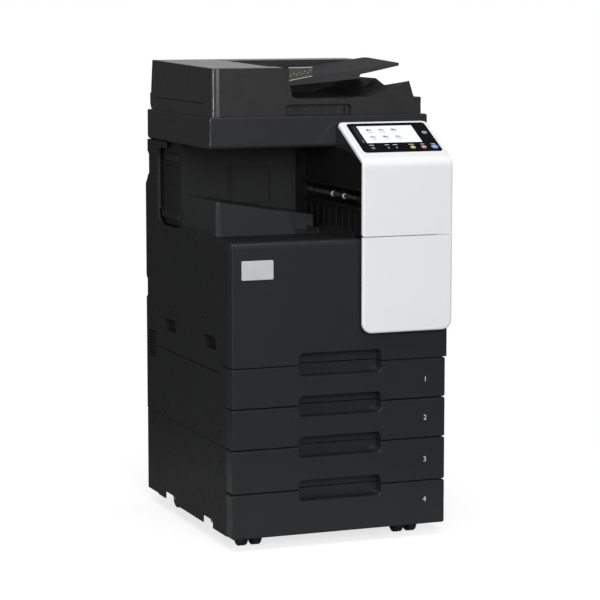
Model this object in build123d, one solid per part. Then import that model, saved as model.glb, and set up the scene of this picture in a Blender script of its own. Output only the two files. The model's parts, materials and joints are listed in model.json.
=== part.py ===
from build123d import *
import math
import os

# Floor-standing colour photocopier with four paper trays, an output cavity between the
# scanner and the body, a document feeder on top and a tilted touch panel on a white tower.
#
# Modelled in machine coordinates: x = 0 on the body's centreline, y = 0 on the plane of the
# tray fronts (+Y to the rear), z = 0 on the floor. Every node is shifted on export, so that
# the origin lies on the floor under the middle of the whole machine.

# ---------------------------------------------------------------- driving dimensions (mm)
HALF_W = 260.0            # half the width of the body
REAR_Y = 616.0            # outer face of the rear covers
UPPER_REAR_Y = 600.0      # the rear cover steps in under the scanner
WALL = 3.0                # moulded covers
SHEET = 2.0               # sheet metal of the frames
SEAM = 2.0                # gap between neighbouring fronts

PANEL_BOTTOM = 27.6       # lower edge of the cabinet covers above the floor
TRAY_TOPS = {4: 129.5, 3: 229.0, 2: 321.9, 1: 414.3}
TRAY_BOTTOMS = {4: PANEL_BOTTOM, 3: 129.5, 2: 229.0, 1: 321.9}
CABINET_TOP = 229.0
BODY_TOP = 694.0
RETURN_Y = 40.0           # how far the tray fronts wrap round the sides
DOOR_RETURN_Y = 27.0
DOOR_RIGHT = 264.0

TOWER_LEFT = 44.0
TOWER_RIGHT = 265.0
TOWER_FRONT = -23.0
TOWER_SEAM = 699.6        # between the white door panel and the white tower cover
PANEL_TILT = 27.9         # degrees, the touch panel's slope
PANEL_REF_Y = -9.0        # a point on the panel's face
PANEL_REF_Z = 877.5

SCANNER_BOTTOM = 892.0
SCANNER_TOP = 964.0
SCANNER_FRONT = 143.0
SCANNER_REAR = 600.0
SCANNER_RIGHT = 276.0

ADF_FRONT = 150.0
ADF_REAR = 597.0          # at the lid's lower edge; the rear face leans forward
ADF_REAR_TOP = 577.0
ADF_LEFT = -253.0
ADF_RIGHT = 264.0
ADF_BOTTOM = 964.5
ADF_DECK = 1003.0
ADF_TOP = 1074.0          # at the front; the top rises a little to the rear
ADF_TOP_REAR = 1083.0

CAVITY_REAR = 398.0       # front face of the inner rear wall
CAVITY_LEFT = -242.0
EXIT_WALL_X = 47.0        # left face of the tower, where sheets come out
FRAME_LEFT = -250.0
FRAME_RIGHT = 238.0
FRAME_FRONT = 44.0
FRAME_REAR = 560.0
CABINET_DECK = 68.0       # sheet that carries the casters

SIDE_DOOR_X = 274.0       # outer face of the right-hand doors
SIDE_HINGE = (262.0, 548.0)
BYPASS_X = 325.0          # outer face of the closed bypass tray

WHEEL_R = 25.0
WHEEL_W = 20.0
WHEEL_OFFSET = 16.5       # wheel centre from the caster's middle
TRAIL = 18.0              # wheel axle in front of the kingpin
FIT = 0.05                # radial clearance of running fits

ORIGIN = (0.5 * (BYPASS_X - HALF_W), 0.5 * (REAR_Y + TOWER_FRONT), 0.0)


# ---------------------------------------------------------------- small helpers
def block(x0, x1, y0, y1, z0, z1):
    """Box between two corners."""
    return Pos((x0 + x1) / 2, (y0 + y1) / 2, (z0 + z1) / 2) * Box(x1 - x0, y1 - y0, z1 - z0)


def rod_x(radius, x0, x1, y, z):
    return Pos((x0 + x1) / 2, y, z) * Rot(0, 90, 0) * Cylinder(radius, x1 - x0)


def rod_y(radius, y0, y1, x, z):
    return Pos(x, (y0 + y1) / 2, z) * Rot(90, 0, 0) * Cylinder(radius, y1 - y0)


def rod_z(radius, z0, z1, x, y):
    return Pos(x, y, (z0 + z1) / 2) * Cylinder(radius, z1 - z0)


def prism_x(points, x0, x1):
    """Outline of (y, z) points, extruded from x0 to x1."""
    outline = Polyline(*points, close=True)
    return extrude(Plane((x0, 0, 0), x_dir=(0, 1, 0), z_dir=(1, 0, 0)) * make_face(outline), x1 - x0)


def prism_y(points, y0, y1):
    """Outline of (x, z) points, extruded from y0 to y1."""
    outline = Polyline(*points, close=True)
    return extrude(Plane((0, y1, 0), x_dir=(1, 0, 0), z_dir=(0, -1, 0)) * make_face(outline), y1 - y0)


def rounded(solid, axis, radius, keep=lambda edge: True):
    """Fillet the edges that run along an axis and pass a test on their middle point."""
    edges = [e for e in solid.edges().filter_by(axis) if keep(e.center())]
    return fillet(edges, radius)


def bounds_edges(solid, axis_index, value):
    """Edges that lie wholly in the plane where one coordinate has a value."""
    found = []
    for edge in solid.edges():
        box = edge.bounding_box()
        low = (box.min.X, box.min.Y, box.min.Z)[axis_index]
        high = (box.max.X, box.max.Y, box.max.Z)[axis_index]
        if abs(low - value) < 0.01 and abs(high - value) < 0.01:
            found.append(edge)
    return found


def on_panel(slope_mm, above_mm):
    """(y, z) of a point up the panel's slope and above its face."""
    tilt = math.radians(PANEL_TILT)
    y = PANEL_REF_Y + slope_mm * math.cos(tilt) - above_mm * math.sin(tilt)
    z = PANEL_REF_Z + slope_mm * math.sin(tilt) + above_mm * math.cos(tilt)
    return y, z


def panel_slab(x0, x1, slope0, slope1, below, above, corner=0.0):
    """Plate on the tilted panel, between two heights measured from the panel's face."""
    slab = Box(x1 - x0, slope1 - slope0, above - below)
    if corner:
        slab = rounded(slab, Axis.Z, corner)
    y, z = on_panel((slope0 + slope1) / 2, (below + above) / 2)
    return Pos((x0 + x1) / 2, y, z) * Rot(PANEL_TILT, 0, 0) * slab


# ---------------------------------------------------------------- cabinet with trays 3 and 4
def tray_floor(number):
    """Underside of a paper tray's box."""
    return CABINET_DECK + 7.0 if number == 4 else TRAY_BOTTOMS[number] + 8.0


LEDGE = 2.0
LEDGE_WIDTH = 14.0
BOX_GAP = 0.5             # under and beside a tray's box


def tray_ledges(number):
    """Two ledges on the side walls that a paper tray slides on."""
    top = tray_floor(number) - BOX_GAP
    left = block(FRAME_LEFT + SHEET, FRAME_LEFT + LEDGE_WIDTH, FRAME_FRONT, 540, top - LEDGE, top)
    right = block(FRAME_RIGHT - LEDGE_WIDTH, FRAME_RIGHT - SHEET, FRAME_FRONT, 540, top - LEDGE, top)
    return left + right


CASTERS = {
    "front_left": (-202.0, 80.0),
    "front_right": (182.0, 80.0),
    "rear_left": (-202.0, 510.0),
    "rear_right": (182.0, 510.0),
}
KINGPIN_R = 6.0


def cabinet_frame():
    deck = block(FRAME_LEFT, FRAME_RIGHT, FRAME_FRONT, FRAME_REAR, CABINET_DECK, CABINET_DECK + SHEET)
    left = block(FRAME_LEFT, FRAME_LEFT + SHEET, FRAME_FRONT, FRAME_REAR, CABINET_DECK, CABINET_TOP - 1)
    right = block(FRAME_RIGHT - SHEET, FRAME_RIGHT, FRAME_FRONT, FRAME_REAR, CABINET_DECK, CABINET_TOP - 1)
    rear = block(FRAME_LEFT, FRAME_RIGHT, FRAME_REAR - SHEET, FRAME_REAR, CABINET_DECK, CABINET_TOP - 1)
    roof = block(FRAME_LEFT, FRAME_RIGHT, FRAME_FRONT, FRAME_REAR, CABINET_TOP - 3, CABINET_TOP - 1)
    frame = deck + left + right + rear + roof + tray_ledges(3) + tray_ledges(4)
    for x, y in CASTERS.values():
        frame += block(x - 24, x + 24, y - 24, y + 24, CABINET_DECK - 3, CABINET_DECK)
        frame -= rod_z(KINGPIN_R + FIT, CABINET_DECK - 4, CABINET_DECK + 3, x, y)
    return frame


def side_plate(points, x0=-HALF_W, x1=-HALF_W + WALL):
    return prism_x(points, x0, x1)


COVER_REAR = 532.0


def cabinet_left_cover():
    """Left cover with two fork notches in its lower edge."""
    low, high = PANEL_BOTTOM, CABINET_TOP - 0.7
    front = RETURN_Y + 1
    cover = side_plate([(front, low), (COVER_REAR, low), (COVER_REAR, high), (front, high)])
    for y0, y1 in ((134, 204), (403, 481)):
        notch = block(-HALF_W - 1, -HALF_W + WALL + 1, y0, y1, low - 1, low + 18)
        cover -= rounded(notch, Axis.X, 5, lambda c: c.Z > low)
    return cover + block(-HALF_W + WALL, FRAME_LEFT, 60, 70, 100, 110) + \
        block(-HALF_W + WALL, FRAME_LEFT, 500, 510, 100, 110)


def floor_brackets():
    """Bright folded brackets that show in the notches of the cabinet's lower edge."""
    front = block(-252, -250, 136, 172, 34, CABINET_DECK) + block(-252, -236, 136, 172, 34, 36)
    rear = block(-252, -250, 405, 441, 34, CABINET_DECK) + block(-252, -236, 405, 441, 34, 36)
    return [front, rear]


# ---------------------------------------------------------------- paper trays
RECESS = (-100.0, 101.0)  # handle recess, left and right
RECESS_DEPTH = 32.0
RECESS_DOWN = 26.0        # below a seam
RECESS_UP = 22.0          # above a seam
RIM_R = 1.5               # softened rim of a handle recess


def recess_cutter(z0, z1, rounded_low):
    cutter = block(RECESS[0], RECESS[1], -1, RECESS_DEPTH, z0, z1)
    middle = (z0 + z1) / 2
    keep = (lambda c: c.Z < middle) if rounded_low else (lambda c: c.Z > middle)
    return rounded(cutter, Axis.Y, 12, keep)


def front_shell(x0, x1, z0, z1, depth, edge=3.0):
    """Front moulding: an outer skin open to the rear, with softened corners."""
    shell = block(x0, x1, 0, depth, z0, z1)
    shell = rounded(shell, Axis.Y, 4)
    shell = fillet(bounds_edges(shell, 1, 0.0), edge)
    return shell - block(x0 + WALL, x1 - WALL, WALL, depth + 1, z0 + WALL, z1 - WALL)


def with_recess(shell, z0, z1, rounded_low, grow):
    """Add a moulded pocket behind the skin and open it to the front."""
    low = z0 - (WALL if rounded_low else 0)
    high = z1 + (0 if rounded_low else WALL)
    pocket = block(RECESS[0] - WALL, RECESS[1] + WALL, WALL - 1, RECESS_DEPTH + WALL, low, high)
    shell = shell + pocket
    lower = z0 if rounded_low else z0 - grow
    upper = z1 + grow if rounded_low else z1
    shell = shell - recess_cutter(lower, upper, rounded_low)
    rim = [e for e in bounds_edges(shell, 1, 0.0) if RECESS[0] - 1 < e.center().X < RECESS[1] + 1 and
           low < e.center().Z < high and e.length < RECESS[1] - RECESS[0]]
    return fillet(rim, RIM_R)


def tray_front(number):
    z0 = TRAY_BOTTOMS[number] + (0 if number == 4 else SEAM / 2)
    z1 = TRAY_TOPS[number] - SEAM / 2
    shell = front_shell(-HALF_W, HALF_W, z0, z1, RETURN_Y)
    for x in (-190, -130, 130, 190):
        shell += block(x - 1.5, x + 1.5, WALL - 1, RETURN_Y, z0 + 12, z1 - 12)
    if number == 4:
        shell -= block(-HALF_W + WALL, HALF_W - WALL, 20, RETURN_Y + 1, 0, CABINET_DECK - 1)
    shell = with_recess(shell, TRAY_TOPS[number] - RECESS_DOWN, z1, True, 5)
    if number != 4:
        shell = with_recess(shell, z0, TRAY_BOTTOMS[number] + RECESS_UP, False, 5)
    return shell


TRAY_HEIGHT = 52.0
TRAY_X = (-246.0, 234.0)
TRAY_REAR = 440.0
TRAY_WALL = 2.5


def tray_box(number):
    """Paper box with its lift plate, width guides and end guide."""
    z = tray_floor(number)
    x0, x1 = TRAY_X
    body = block(x0, x1, RETURN_Y, TRAY_REAR, z, z + TRAY_HEIGHT)
    body -= block(x0 + TRAY_WALL, x1 - TRAY_WALL, RETURN_Y + TRAY_WALL, TRAY_REAR - TRAY_WALL,
                  z + TRAY_WALL, z + TRAY_HEIGHT + 1)
    floor = z + TRAY_WALL
    plate = block(-150, 210, 84, 396, floor, floor + 2) - block(-60, 60, 60, 96, floor - 1, floor + 3)
    plate -= block(-60, 60, 384, 420, floor - 1, floor + 3)
    front_guide = block(-50, 50, 80, 83, floor, floor + 44) + block(-50, 50, 62, 80, floor, floor + 3)
    rear_guide = block(-50, 50, 397, 400, floor, floor + 44) + block(-50, 50, 400, 418, floor, floor + 3)
    end_guide = block(-214, -211, 190, 290, floor, floor + 44) + block(-234, -214, 190, 290, floor, floor + 3)
    return [body, plate, front_guide, rear_guide, end_guide]


# ---------------------------------------------------------------- main frame and covers
GRIPS = ((109.0, 196.0), (394.0, 481.0))
GRIP_Z = (442.0, 471.0)
LOWER_COVER_TOP = 394.0
STEP_Y = 80.0             # the seam under the upper cover steps up in front of here


LOWER_SHELF = 422.0       # under the laser unit
UPPER_SHELF = 562.0       # under the toner cartridges and the fuser
PAPER_SLOT = (172.0, 184.0, 110.0, 456.0)


def main_frame():
    top = BODY_TOP - 6
    base = block(FRAME_LEFT, FRAME_RIGHT, FRAME_FRONT, FRAME_REAR, CABINET_TOP - 1, CABINET_TOP + SHEET)
    left = block(FRAME_LEFT, FRAME_LEFT + SHEET, FRAME_FRONT, FRAME_REAR, CABINET_TOP, top)
    right = block(FRAME_RIGHT - SHEET, FRAME_RIGHT, FRAME_FRONT, FRAME_REAR, CABINET_TOP, 848)
    right += block(FRAME_RIGHT - SHEET, FRAME_RIGHT, SCANNER_FRONT + 2, FRAME_REAR, 840, SCANNER_BOTTOM)
    rear = block(FRAME_LEFT, FRAME_RIGHT, FRAME_REAR - SHEET, FRAME_REAR, CABINET_TOP, SCANNER_BOTTOM)
    shelf = block(FRAME_LEFT, FRAME_RIGHT, FRAME_FRONT, FRAME_REAR, LOWER_SHELF - SHEET, LOWER_SHELF)
    upper = block(FRAME_LEFT, FRAME_RIGHT, 96, 470, UPPER_SHELF - SHEET, UPPER_SHELF)
    shelf += upper - block(*PAPER_SLOT, UPPER_SHELF - 3, UPPER_SHELF + 1)
    deck = block(FRAME_LEFT, FRAME_RIGHT, FRAME_FRONT, FRAME_REAR, top - SHEET, top)
    post = block(FRAME_RIGHT - 30, FRAME_RIGHT, SCANNER_FRONT + 2, SCANNER_FRONT + 4, top, SCANNER_BOTTOM)
    head = block(60, FRAME_RIGHT, 400, 440, SCANNER_BOTTOM - 4, SCANNER_BOTTOM)
    frame = base + left + right + rear + shelf + deck + post + head + tray_ledges(1) + tray_ledges(2)
    for y0, y1 in GRIPS:
        frame -= block(FRAME_LEFT - 1, FRAME_LEFT + SHEET + 1, y0 - 4, y1 + 4, GRIP_Z[0] - 4, GRIP_Z[1] + 4)
    return frame


SCREW_HEAD_R = 3.4
SCREW_HOLE_R = 4.4
UPPER_SCREWS = ((267, 681), (76, 677), (457, 680), (394, 507), (199, 505), (79, 478), (518, 485))
LOWER_SCREWS = ((270, 384), (79, 262), (340, 265), (500, 246))
CABINET_SCREWS = ((84, 189), (86, 43), (500, 200), (500, 50))
REAR_SIDE_SCREWS = ((582, 638), (582, 452), (582, 251))
CABINET_REAR_SCREWS = ((579, 195), (582, 45))


def screw_holes(places):
    holes = [rod_x(SCREW_HOLE_R, -HALF_W - 1, -HALF_W + WALL + 1, y, z) for y, z in places]
    return holes


def drilled(cover, places):
    for hole in screw_holes(places):
        cover -= hole
    return cover


def cover_screws():
    """Pan-head screws at the bottom of the dark holes in the left and rear covers."""
    screws = []
    for y, z in UPPER_SCREWS + LOWER_SCREWS + CABINET_SCREWS:
        head = rod_x(SCREW_HEAD_R, -HALF_W + 1.2, -HALF_W + 4.0, y, z)
        shank = rod_x(1.6, -HALF_W + 3.9, FRAME_LEFT, y, z)
        cross = block(-HALF_W + 1, -HALF_W + 2.2, y - 2.2, y + 2.2, z - 0.5, z + 0.5)
        cross += block(-HALF_W + 1, -HALF_W + 2.2, y - 0.5, y + 0.5, z - 2.2, z + 2.2)
        screws.append(head + shank - cross)
    return screws


def left_cover_upper():
    low = LOWER_COVER_TOP + 1
    step = TRAY_TOPS[1] + 1
    front = DOOR_RETURN_Y + 1
    points = [(front, step), (STEP_Y, step), (STEP_Y, low), (COVER_REAR, low),
              (COVER_REAR, BODY_TOP), (front, BODY_TOP)]
    cover = side_plate(points)
    cover -= block(-HALF_W - 1, -HALF_W + WALL + 1, front - 1, front + 3.5, 605, 654)
    for y0, y1 in GRIPS:
        cover -= block(-HALF_W - 1, -HALF_W + WALL + 1, y0, y1, *GRIP_Z)
        pocket = block(-HALF_W + WALL, -236, y0 - 2.5, y1 + 2.5, GRIP_Z[0] - 2.5, GRIP_Z[1] + 2.5)
        cover += pocket - block(-HALF_W, -238.5, y0, y1, *GRIP_Z)
    return drilled(cover, UPPER_SCREWS)


def left_cover_lower():
    low, high = CABINET_TOP + 0.7, LOWER_COVER_TOP - 1
    front = RETURN_Y + 1
    points = [(front, low), (COVER_REAR, low), (COVER_REAR, high), (STEP_Y - 2, high),
              (STEP_Y - 2, TRAY_TOPS[1] - 1), (front, TRAY_TOPS[1] - 1)]
    return drilled(side_plate(points), LOWER_SCREWS)


def left_covers():
    return [left_cover_upper(), left_cover_lower()]


PILLAR_Y = 526.0
STEP_LOW = 782.0          # the rear cover leans in between these heights
STEP_HIGH = 800.0
FOOT_R = 36.0             # curve at the pillar's foot
ARM_R = 30.0              # curve under the arm at the pillar's head
ARM_THICK = 14.0
ARM_LENGTH = 60.0


def rear_side(x0, x1, front, low, high, inset=0.0):
    """Plate from a front edge back to the stepped outline of the rear cover."""
    rear = REAR_Y - inset
    upper = UPPER_REAR_Y - inset
    points = [(front, low), (rear, low)]
    if high > STEP_HIGH:
        points += [(rear, STEP_LOW), (upper, STEP_HIGH), (upper, high)]
    else:
        points += [(rear, high)]
    return prism_x(points + [(front, high)], x0, x1)


def rear_notch(cover, low, high, rear, depth):
    """Moulded dent in the left rear corner."""
    cover += block(-HALF_W, -200, rear - depth - WALL, rear - 1, low - 5, high + 5)
    outline = [(rear - depth, low + 8), (rear + 1, low), (rear + 1, high), (rear - depth, high - 8)]
    return cover - prism_x(outline, -HALF_W - 1, -203)


def pillar_edge():
    """Flange along the pillar's front edge, curved forward at the foot and under the scanner."""
    right = -HALF_W + 2 * WALL
    foot, head = BODY_TOP + 1, SCANNER_BOTTOM - 0.3
    edge = block(-HALF_W, right, PILLAR_Y, PILLAR_Y + WALL, foot, head)
    centre = (PILLAR_Y - FOOT_R, foot + FOOT_R)
    gusset = block(-HALF_W, right, PILLAR_Y - FOOT_R, PILLAR_Y + 1, foot, foot + FOOT_R)
    edge += gusset - rod_x(FOOT_R, -HALF_W - 1, right + 1, *centre)
    arm_low = head - ARM_THICK
    arm = block(-HALF_W, right, PILLAR_Y - ARM_LENGTH, PILLAR_Y + 1, arm_low - ARM_R, head)
    under = arm_low - ARM_R - 1
    arm -= block(-HALF_W - 1, right + 1, PILLAR_Y - ARM_LENGTH - 1, PILLAR_Y - ARM_R, under, arm_low)
    arm -= rod_x(ARM_R, -HALF_W - 1, right + 1, PILLAR_Y - ARM_R, arm_low - ARM_R)
    return edge + arm


def main_rear_cover():
    """Rear cover that wraps both sides; its left edge rises as the pillar under the scanner."""
    low = CABINET_TOP + 0.7
    inner = HALF_W - WALL
    cover = rear_side(-inner, inner, 580, low, SCANNER_BOTTOM - 0.3)
    cover -= rear_side(-inner - 1, inner + 1, 579, low - 1, SCANNER_BOTTOM + 1, WALL)
    cover += rear_side(-HALF_W, -inner, COVER_REAR + 2, low, BODY_TOP + 2)
    cover += rear_side(-HALF_W, -inner, PILLAR_Y, BODY_TOP + 1, SCANNER_BOTTOM - 0.3)
    cover += rear_side(inner, HALF_W, SIDE_HINGE[1] + 16, low, SCANNER_BOTTOM - 0.3)
    cover += pillar_edge()
    cover = rear_notch(cover, 802, 864, UPPER_REAR_Y, 11)
    cover = rear_notch(cover, 503, 558, REAR_Y, 9)
    for row in range(9):
        z = 364 + 7.4 * row
        cover -= block(-HALF_W - 1, -inner + 1, 545, 604, z, z + 3.2)
    for row in range(12):
        z = 300 + 9 * row
        cover -= block(-60, 120, REAR_Y - WALL - 1, REAR_Y + 1, z, z + 4)
    x0, x1, z0, z1 = INLET
    cover -= block(x0, x1, REAR_Y - WALL - 1, REAR_Y + 1, z0, z1)
    return drilled(cover, REAR_SIDE_SCREWS)


def cabinet_rear_cover():
    high = CABINET_TOP - 0.7
    cover = block(-HALF_W, HALF_W, REAR_Y - WALL - 2, REAR_Y - 2, PANEL_BOTTOM + 2, high)
    cover += block(-HALF_W, -HALF_W + WALL, COVER_REAR + 2, REAR_Y - 2, PANEL_BOTTOM + 2, high)
    cover += block(HALF_W - WALL, HALF_W, SIDE_HINGE[1] + 16, REAR_Y - 2, PANEL_BOTTOM + 2, high)
    return drilled(cover, CABINET_REAR_SCREWS)


INLET = (150.0, 200.0, 262.0, 292.0)


def power_inlet():
    """Three-pin inlet recessed in the rear cover."""
    x0, x1, z0, z1 = INLET
    shell = block(x0 + 0.5, x1 - 0.5, REAR_Y - 28, REAR_Y - 1, z0 + 0.5, z1 - 0.5)
    shell -= block(x0 + 12.5, x1 - 12.5, REAR_Y - 22, REAR_Y, z0 + 6.5, z1 - 6.5)
    for dx, dz in ((-7, -2), (7, -2), (0, 4)):
        x, z = (x0 + x1) / 2 + dx, (z0 + z1) / 2 + dz
        shell += block(x - 1, x + 1, REAR_Y - 23, REAR_Y - 5, z - 2, z + 2)
    return shell


TONER_X = (-190.0, -118.0, -46.0, 26.0)
TONER_Z = 589.5
TONER_R = 27.0
INNER_Y = 41.0


def inner_cover():
    """Fixed cover behind the front door, with its ledge in front of the output tray."""
    top = block(-HALF_W + WALL, EXIT_WALL_X - 1, DOOR_RETURN_Y + 1, 164, BODY_TOP - WALL, BODY_TOP - 0.2)
    front = block(-HALF_W + WALL, HALF_W - WALL, INNER_Y, INNER_Y + 2.5, TRAY_TOPS[1] + 2, BODY_TOP - 1)
    cover = top + front
    for x in TONER_X:
        cover -= rod_y(TONER_R + 2.5, INNER_Y - 1, INNER_Y + 4, x, TONER_Z)
    cover -= block(-232, 202, INNER_Y - 1, INNER_Y + 4, 446, 516)
    return cover


def toner_cartridges():
    """Four round cartridges, each with a moulded grip on its front cap."""
    cartridges = []
    for x in TONER_X:
        body = rod_y(TONER_R, INNER_Y - 1, 400, x, TONER_Z)
        body = fillet(bounds_edges(body, 1, INNER_Y - 1), 4)
        body -= block(x - 17, x - 4, INNER_Y - 2, INNER_Y + 9, TONER_Z - 14, TONER_Z + 14)
        body -= block(x + 4, x + 17, INNER_Y - 2, INNER_Y + 9, TONER_Z - 14, TONER_Z + 14)
        cartridges.append(body)
    return cartridges


def waste_toner_box():
    box = block(-230, 200, INNER_Y - 2, 90, 448, 514)
    return rounded(box, Axis.Y, 8) - block(-60, 30, INNER_Y - 3, INNER_Y + 14, 462, 476)


def imaging_units():
    """Four drum and developer units under the transfer belt."""
    units = []
    for x in TONER_X:
        body = block(x - 30, x + 30, 96, 470, 462.3, 512) - rod_y(15.4, 95, 471, x, 512)
        drum = rod_y(15, 100, 466, x, 512)
        units += [body, drum]
    return units


def transfer_belt_unit():
    """Flat belt on two rollers, over the drums."""
    left_x, right_x, z = -205.0, 60.0, 543.5
    belt = block(left_x, right_x, 100, 466, z - 16, z + 16)
    belt += rod_y(16, 100, 466, left_x, z) + rod_y(16, 100, 466, right_x, z)
    belt -= block(left_x, right_x, 99, 467, z - 15, z + 15)
    belt -= rod_y(15, 99, 467, left_x, z) + rod_y(15, 99, 467, right_x, z)
    rollers = [rod_y(14.8, 96, 470, left_x, z), rod_y(14.8, 96, 470, right_x, z)]
    return [belt] + rollers


def fuser_unit():
    """Heated roller and pressure roller in a bracket, above the vertical paper path."""
    bracket = block(128, 228, 96, 470, UPPER_SHELF, 650) - block(136, 220, 104, 462, 570, 651)
    bracket -= block(*PAPER_SLOT, UPPER_SHELF - 1, 571)
    heater = rod_y(17, 104.5, 461.5, 160, 615)
    presser = rod_y(17, 104.5, 461.5, 196, 615)
    return [bracket, heater, presser]


def print_head_unit():
    """Closed box of the laser optics, under the drum units."""
    return block(-235, 120, 100, 466, LOWER_SHELF, 444) + block(-200, 80, 140, 420, 444, 462)


# ---------------------------------------------------------------- output cavity
TRAY_SLOPE = 0.17


def output_surface(x):
    """Height of the output tray at x."""
    return 774.0 - TRAY_SLOPE * (x - CAVITY_LEFT)


def output_tray():
    """Sloping output tray: a tall block on the left and a lower shelf behind it."""
    rear = CAVITY_REAR - 0.3
    low = BODY_TOP
    tall = prism_y([(CAVITY_LEFT, low), (CAVITY_LEFT, output_surface(CAVITY_LEFT)),
                    (-70, output_surface(-70)), (-48, low)], 155, rear)
    tall = rounded(tall, Axis.Z, 12, lambda c: c.Y < 156 and c.X < -200)
    front_top = [e for e in tall.edges() if e.center().Y < 168 and e.center().Z > 748 and
                 e.bounding_box().size.X > 20]
    tall = fillet(front_top, 3)
    shelf = prism_y([(-80, low), (-80, output_surface(-80)), (36, output_surface(36)), (36, low)],
                    258, rear)
    hollow = prism_y([(CAVITY_LEFT + 4, low - 1), (CAVITY_LEFT + 4, output_surface(CAVITY_LEFT) - 6),
                      (-76, output_surface(-70) - 5), (-56, low - 1)], 160, rear - 4)
    hollow_2 = prism_y([(-60, low - 1), (-60, output_surface(-60) - 6), (32, output_surface(32) - 4),
                        (32, low - 1)], 262, rear - 4)
    floor = block(-HALF_W + WALL, EXIT_WALL_X - 0.5, 164.5, rear, low - WALL, low)
    rib = block(20, 23, 190, 259, low, low + 9)
    return tall + shelf - hollow - hollow_2 + floor + rib


def inner_rear_wall():
    """Rear wall of the output cavity, with a framed recess and a cover on its left end."""
    z0, z1 = BODY_TOP, SCANNER_BOTTOM - 1
    wall = block(CAVITY_LEFT, EXIT_WALL_X + WALL, CAVITY_REAR, CAVITY_REAR + WALL, z0, z1)
    wall += block(CAVITY_LEFT, CAVITY_LEFT + WALL, CAVITY_REAR, FRAME_REAR - SHEET, z0, z1)
    wall -= block(-128, -19, CAVITY_REAR - 1, CAVITY_REAR + WALL + 1, 747, 833)
    wall += block(-131, -16, CAVITY_REAR + WALL, CAVITY_REAR + 12, 744, 836)
    wall -= block(-128, -19, CAVITY_REAR - 1, CAVITY_REAR + 9, 747, 833)
    wall += block(-18, -8, CAVITY_REAR - 1.2, CAVITY_REAR, 750, 828)
    wall -= block(CAVITY_LEFT - 1, CAVITY_LEFT + 1.5, 429, 505, 788, 837)
    wall += block(CAVITY_LEFT - 0.6, CAVITY_LEFT + 1.6, 432, 502, 791, 834)
    wall += rod_x(3, CAVITY_LEFT - 1.8, CAVITY_LEFT, 470, 812)
    wall += block(CAVITY_LEFT - 7, CAVITY_LEFT + 1, 402, 556, 710, 727)
    return wall + block(CAVITY_LEFT - 7, CAVITY_LEFT + 1, 415, 495, 848, 864)


ROLLER_X = 50.0
ROLLER_Z = 783.0
EXIT_SLOT = (2.0, 334.0, 765.0, 802.0)
SHAFT_R = 3.0
SILL = 17.0               # height of the sloping sill under the exit wall
EXIT_RIBS = 9


SUPPORT_FRONT = -12.5
SUPPORT_ARC = ((SUPPORT_FRONT, 860.0), (61.0, 885.0), (SCANNER_FRONT - 0.5, 890.0))


def under_support(x0, x1, rear, low):
    """Upright wall under the panel support's curved lower edge and under the scanner."""
    gap = 0.6
    (y0, z0), (y1, z1), (y2, z2) = SUPPORT_ARC
    arc = ThreePointArc((y0, z0 - gap), (y1, z1 - gap), (y2, z2 - gap))
    rest = Polyline((y2, z2 - gap), (rear, z2 - gap), (rear, low), (y0, low), (y0, z0 - gap))
    face = make_face(Plane.YZ * Curve([arc, rest]))
    return Pos(x0, 0, 0) * extrude(face, x1 - x0, dir=(1, 0, 0))


def exit_cover():
    """Left wall of the tower: slot for the sheets with its lips, ribs and a sloping sill below."""
    y0, y1, z0, z1 = EXIT_SLOT
    x = EXIT_WALL_X
    cover = under_support(x, x + WALL, CAVITY_REAR - 0.5, TOWER_SEAM - 2)
    cover += block(x, x + WALL, 30, CAVITY_REAR - 0.5, BODY_TOP, TOWER_SEAM)
    cover -= block(x - 1, x + WALL + 1, y0, y1, z0, z1)
    cover += block(x - 7, x + 8, y0 - 8, y1 + 6, z1, z1 + 5)
    cover += block(x - 5, x + 8, y0 - 8, y1 + 6, z0 - 6, z0)
    sill = BODY_TOP + 0.5
    cover += prism_y([(x - 9, sill), (x + 0.5, sill + SILL), (x + 0.5, sill)], DOOR_RETURN_Y + 3, 300)
    for index in range(EXIT_RIBS):
        y = 24 + index * 38
        cover += block(x - 3, x, y, y + 2.5, sill + SILL - 3, z0 - 4)
    for y in (340, 352, 364, 376, 388):
        cover += block(x - 1.5, x, y, y + 2, sill + SILL, SCANNER_BOTTOM - 8)
    for y in (y0 - 4, y1):
        cover += block(x - 4, x + 10, y, y + 4, ROLLER_Z - 8, ROLLER_Z + 8)
        cover -= rod_y(SHAFT_R + FIT, y - 1, y + 5, ROLLER_X, ROLLER_Z)
    return cover


WHITE_ROLLERS = (92.0, 161.0)


def exit_rollers():
    """Shaft with white nip rollers and small dark rollers between them."""
    shaft = rod_y(SHAFT_R, EXIT_SLOT[0] - 5, EXIT_SLOT[1] + 5, ROLLER_X, ROLLER_Z)
    small = []
    for y in (12, 40, 68, 116, 138, 184, 205, 232, 262, 298, 318):
        roller = rod_y(5, y - 3, y + 3, ROLLER_X, ROLLER_Z)
        small.append(roller - rod_y(SHAFT_R, y - 4, y + 4, ROLLER_X, ROLLER_Z))
    white = []
    for y in WHITE_ROLLERS:
        roller = rod_y(6.8, y - 6, y + 6, ROLLER_X, ROLLER_Z)
        roller = fillet(bounds_edges(roller, 1, y - 6), 2)
        white.append(roller - rod_y(SHAFT_R, y - 7, y + 7, ROLLER_X, ROLLER_Z))
    return [shaft] + small + white


# ---------------------------------------------------------------- white tower and touch panel
TOWER_PLATE = 9.0
TOWER_BACK_SLOPE = 156.0  # panel's upper edge, up the slope


def tower_outline(inset):
    """(y, z) outline of the white cover, or of the space behind it."""
    face = TOWER_FRONT + inset
    low_y, low_z = on_panel(0, -inset)
    tilt = math.radians(PANEL_TILT)
    bend_z = low_z + (face - low_y) * math.tan(tilt)
    return (face, bend_z)


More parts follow.
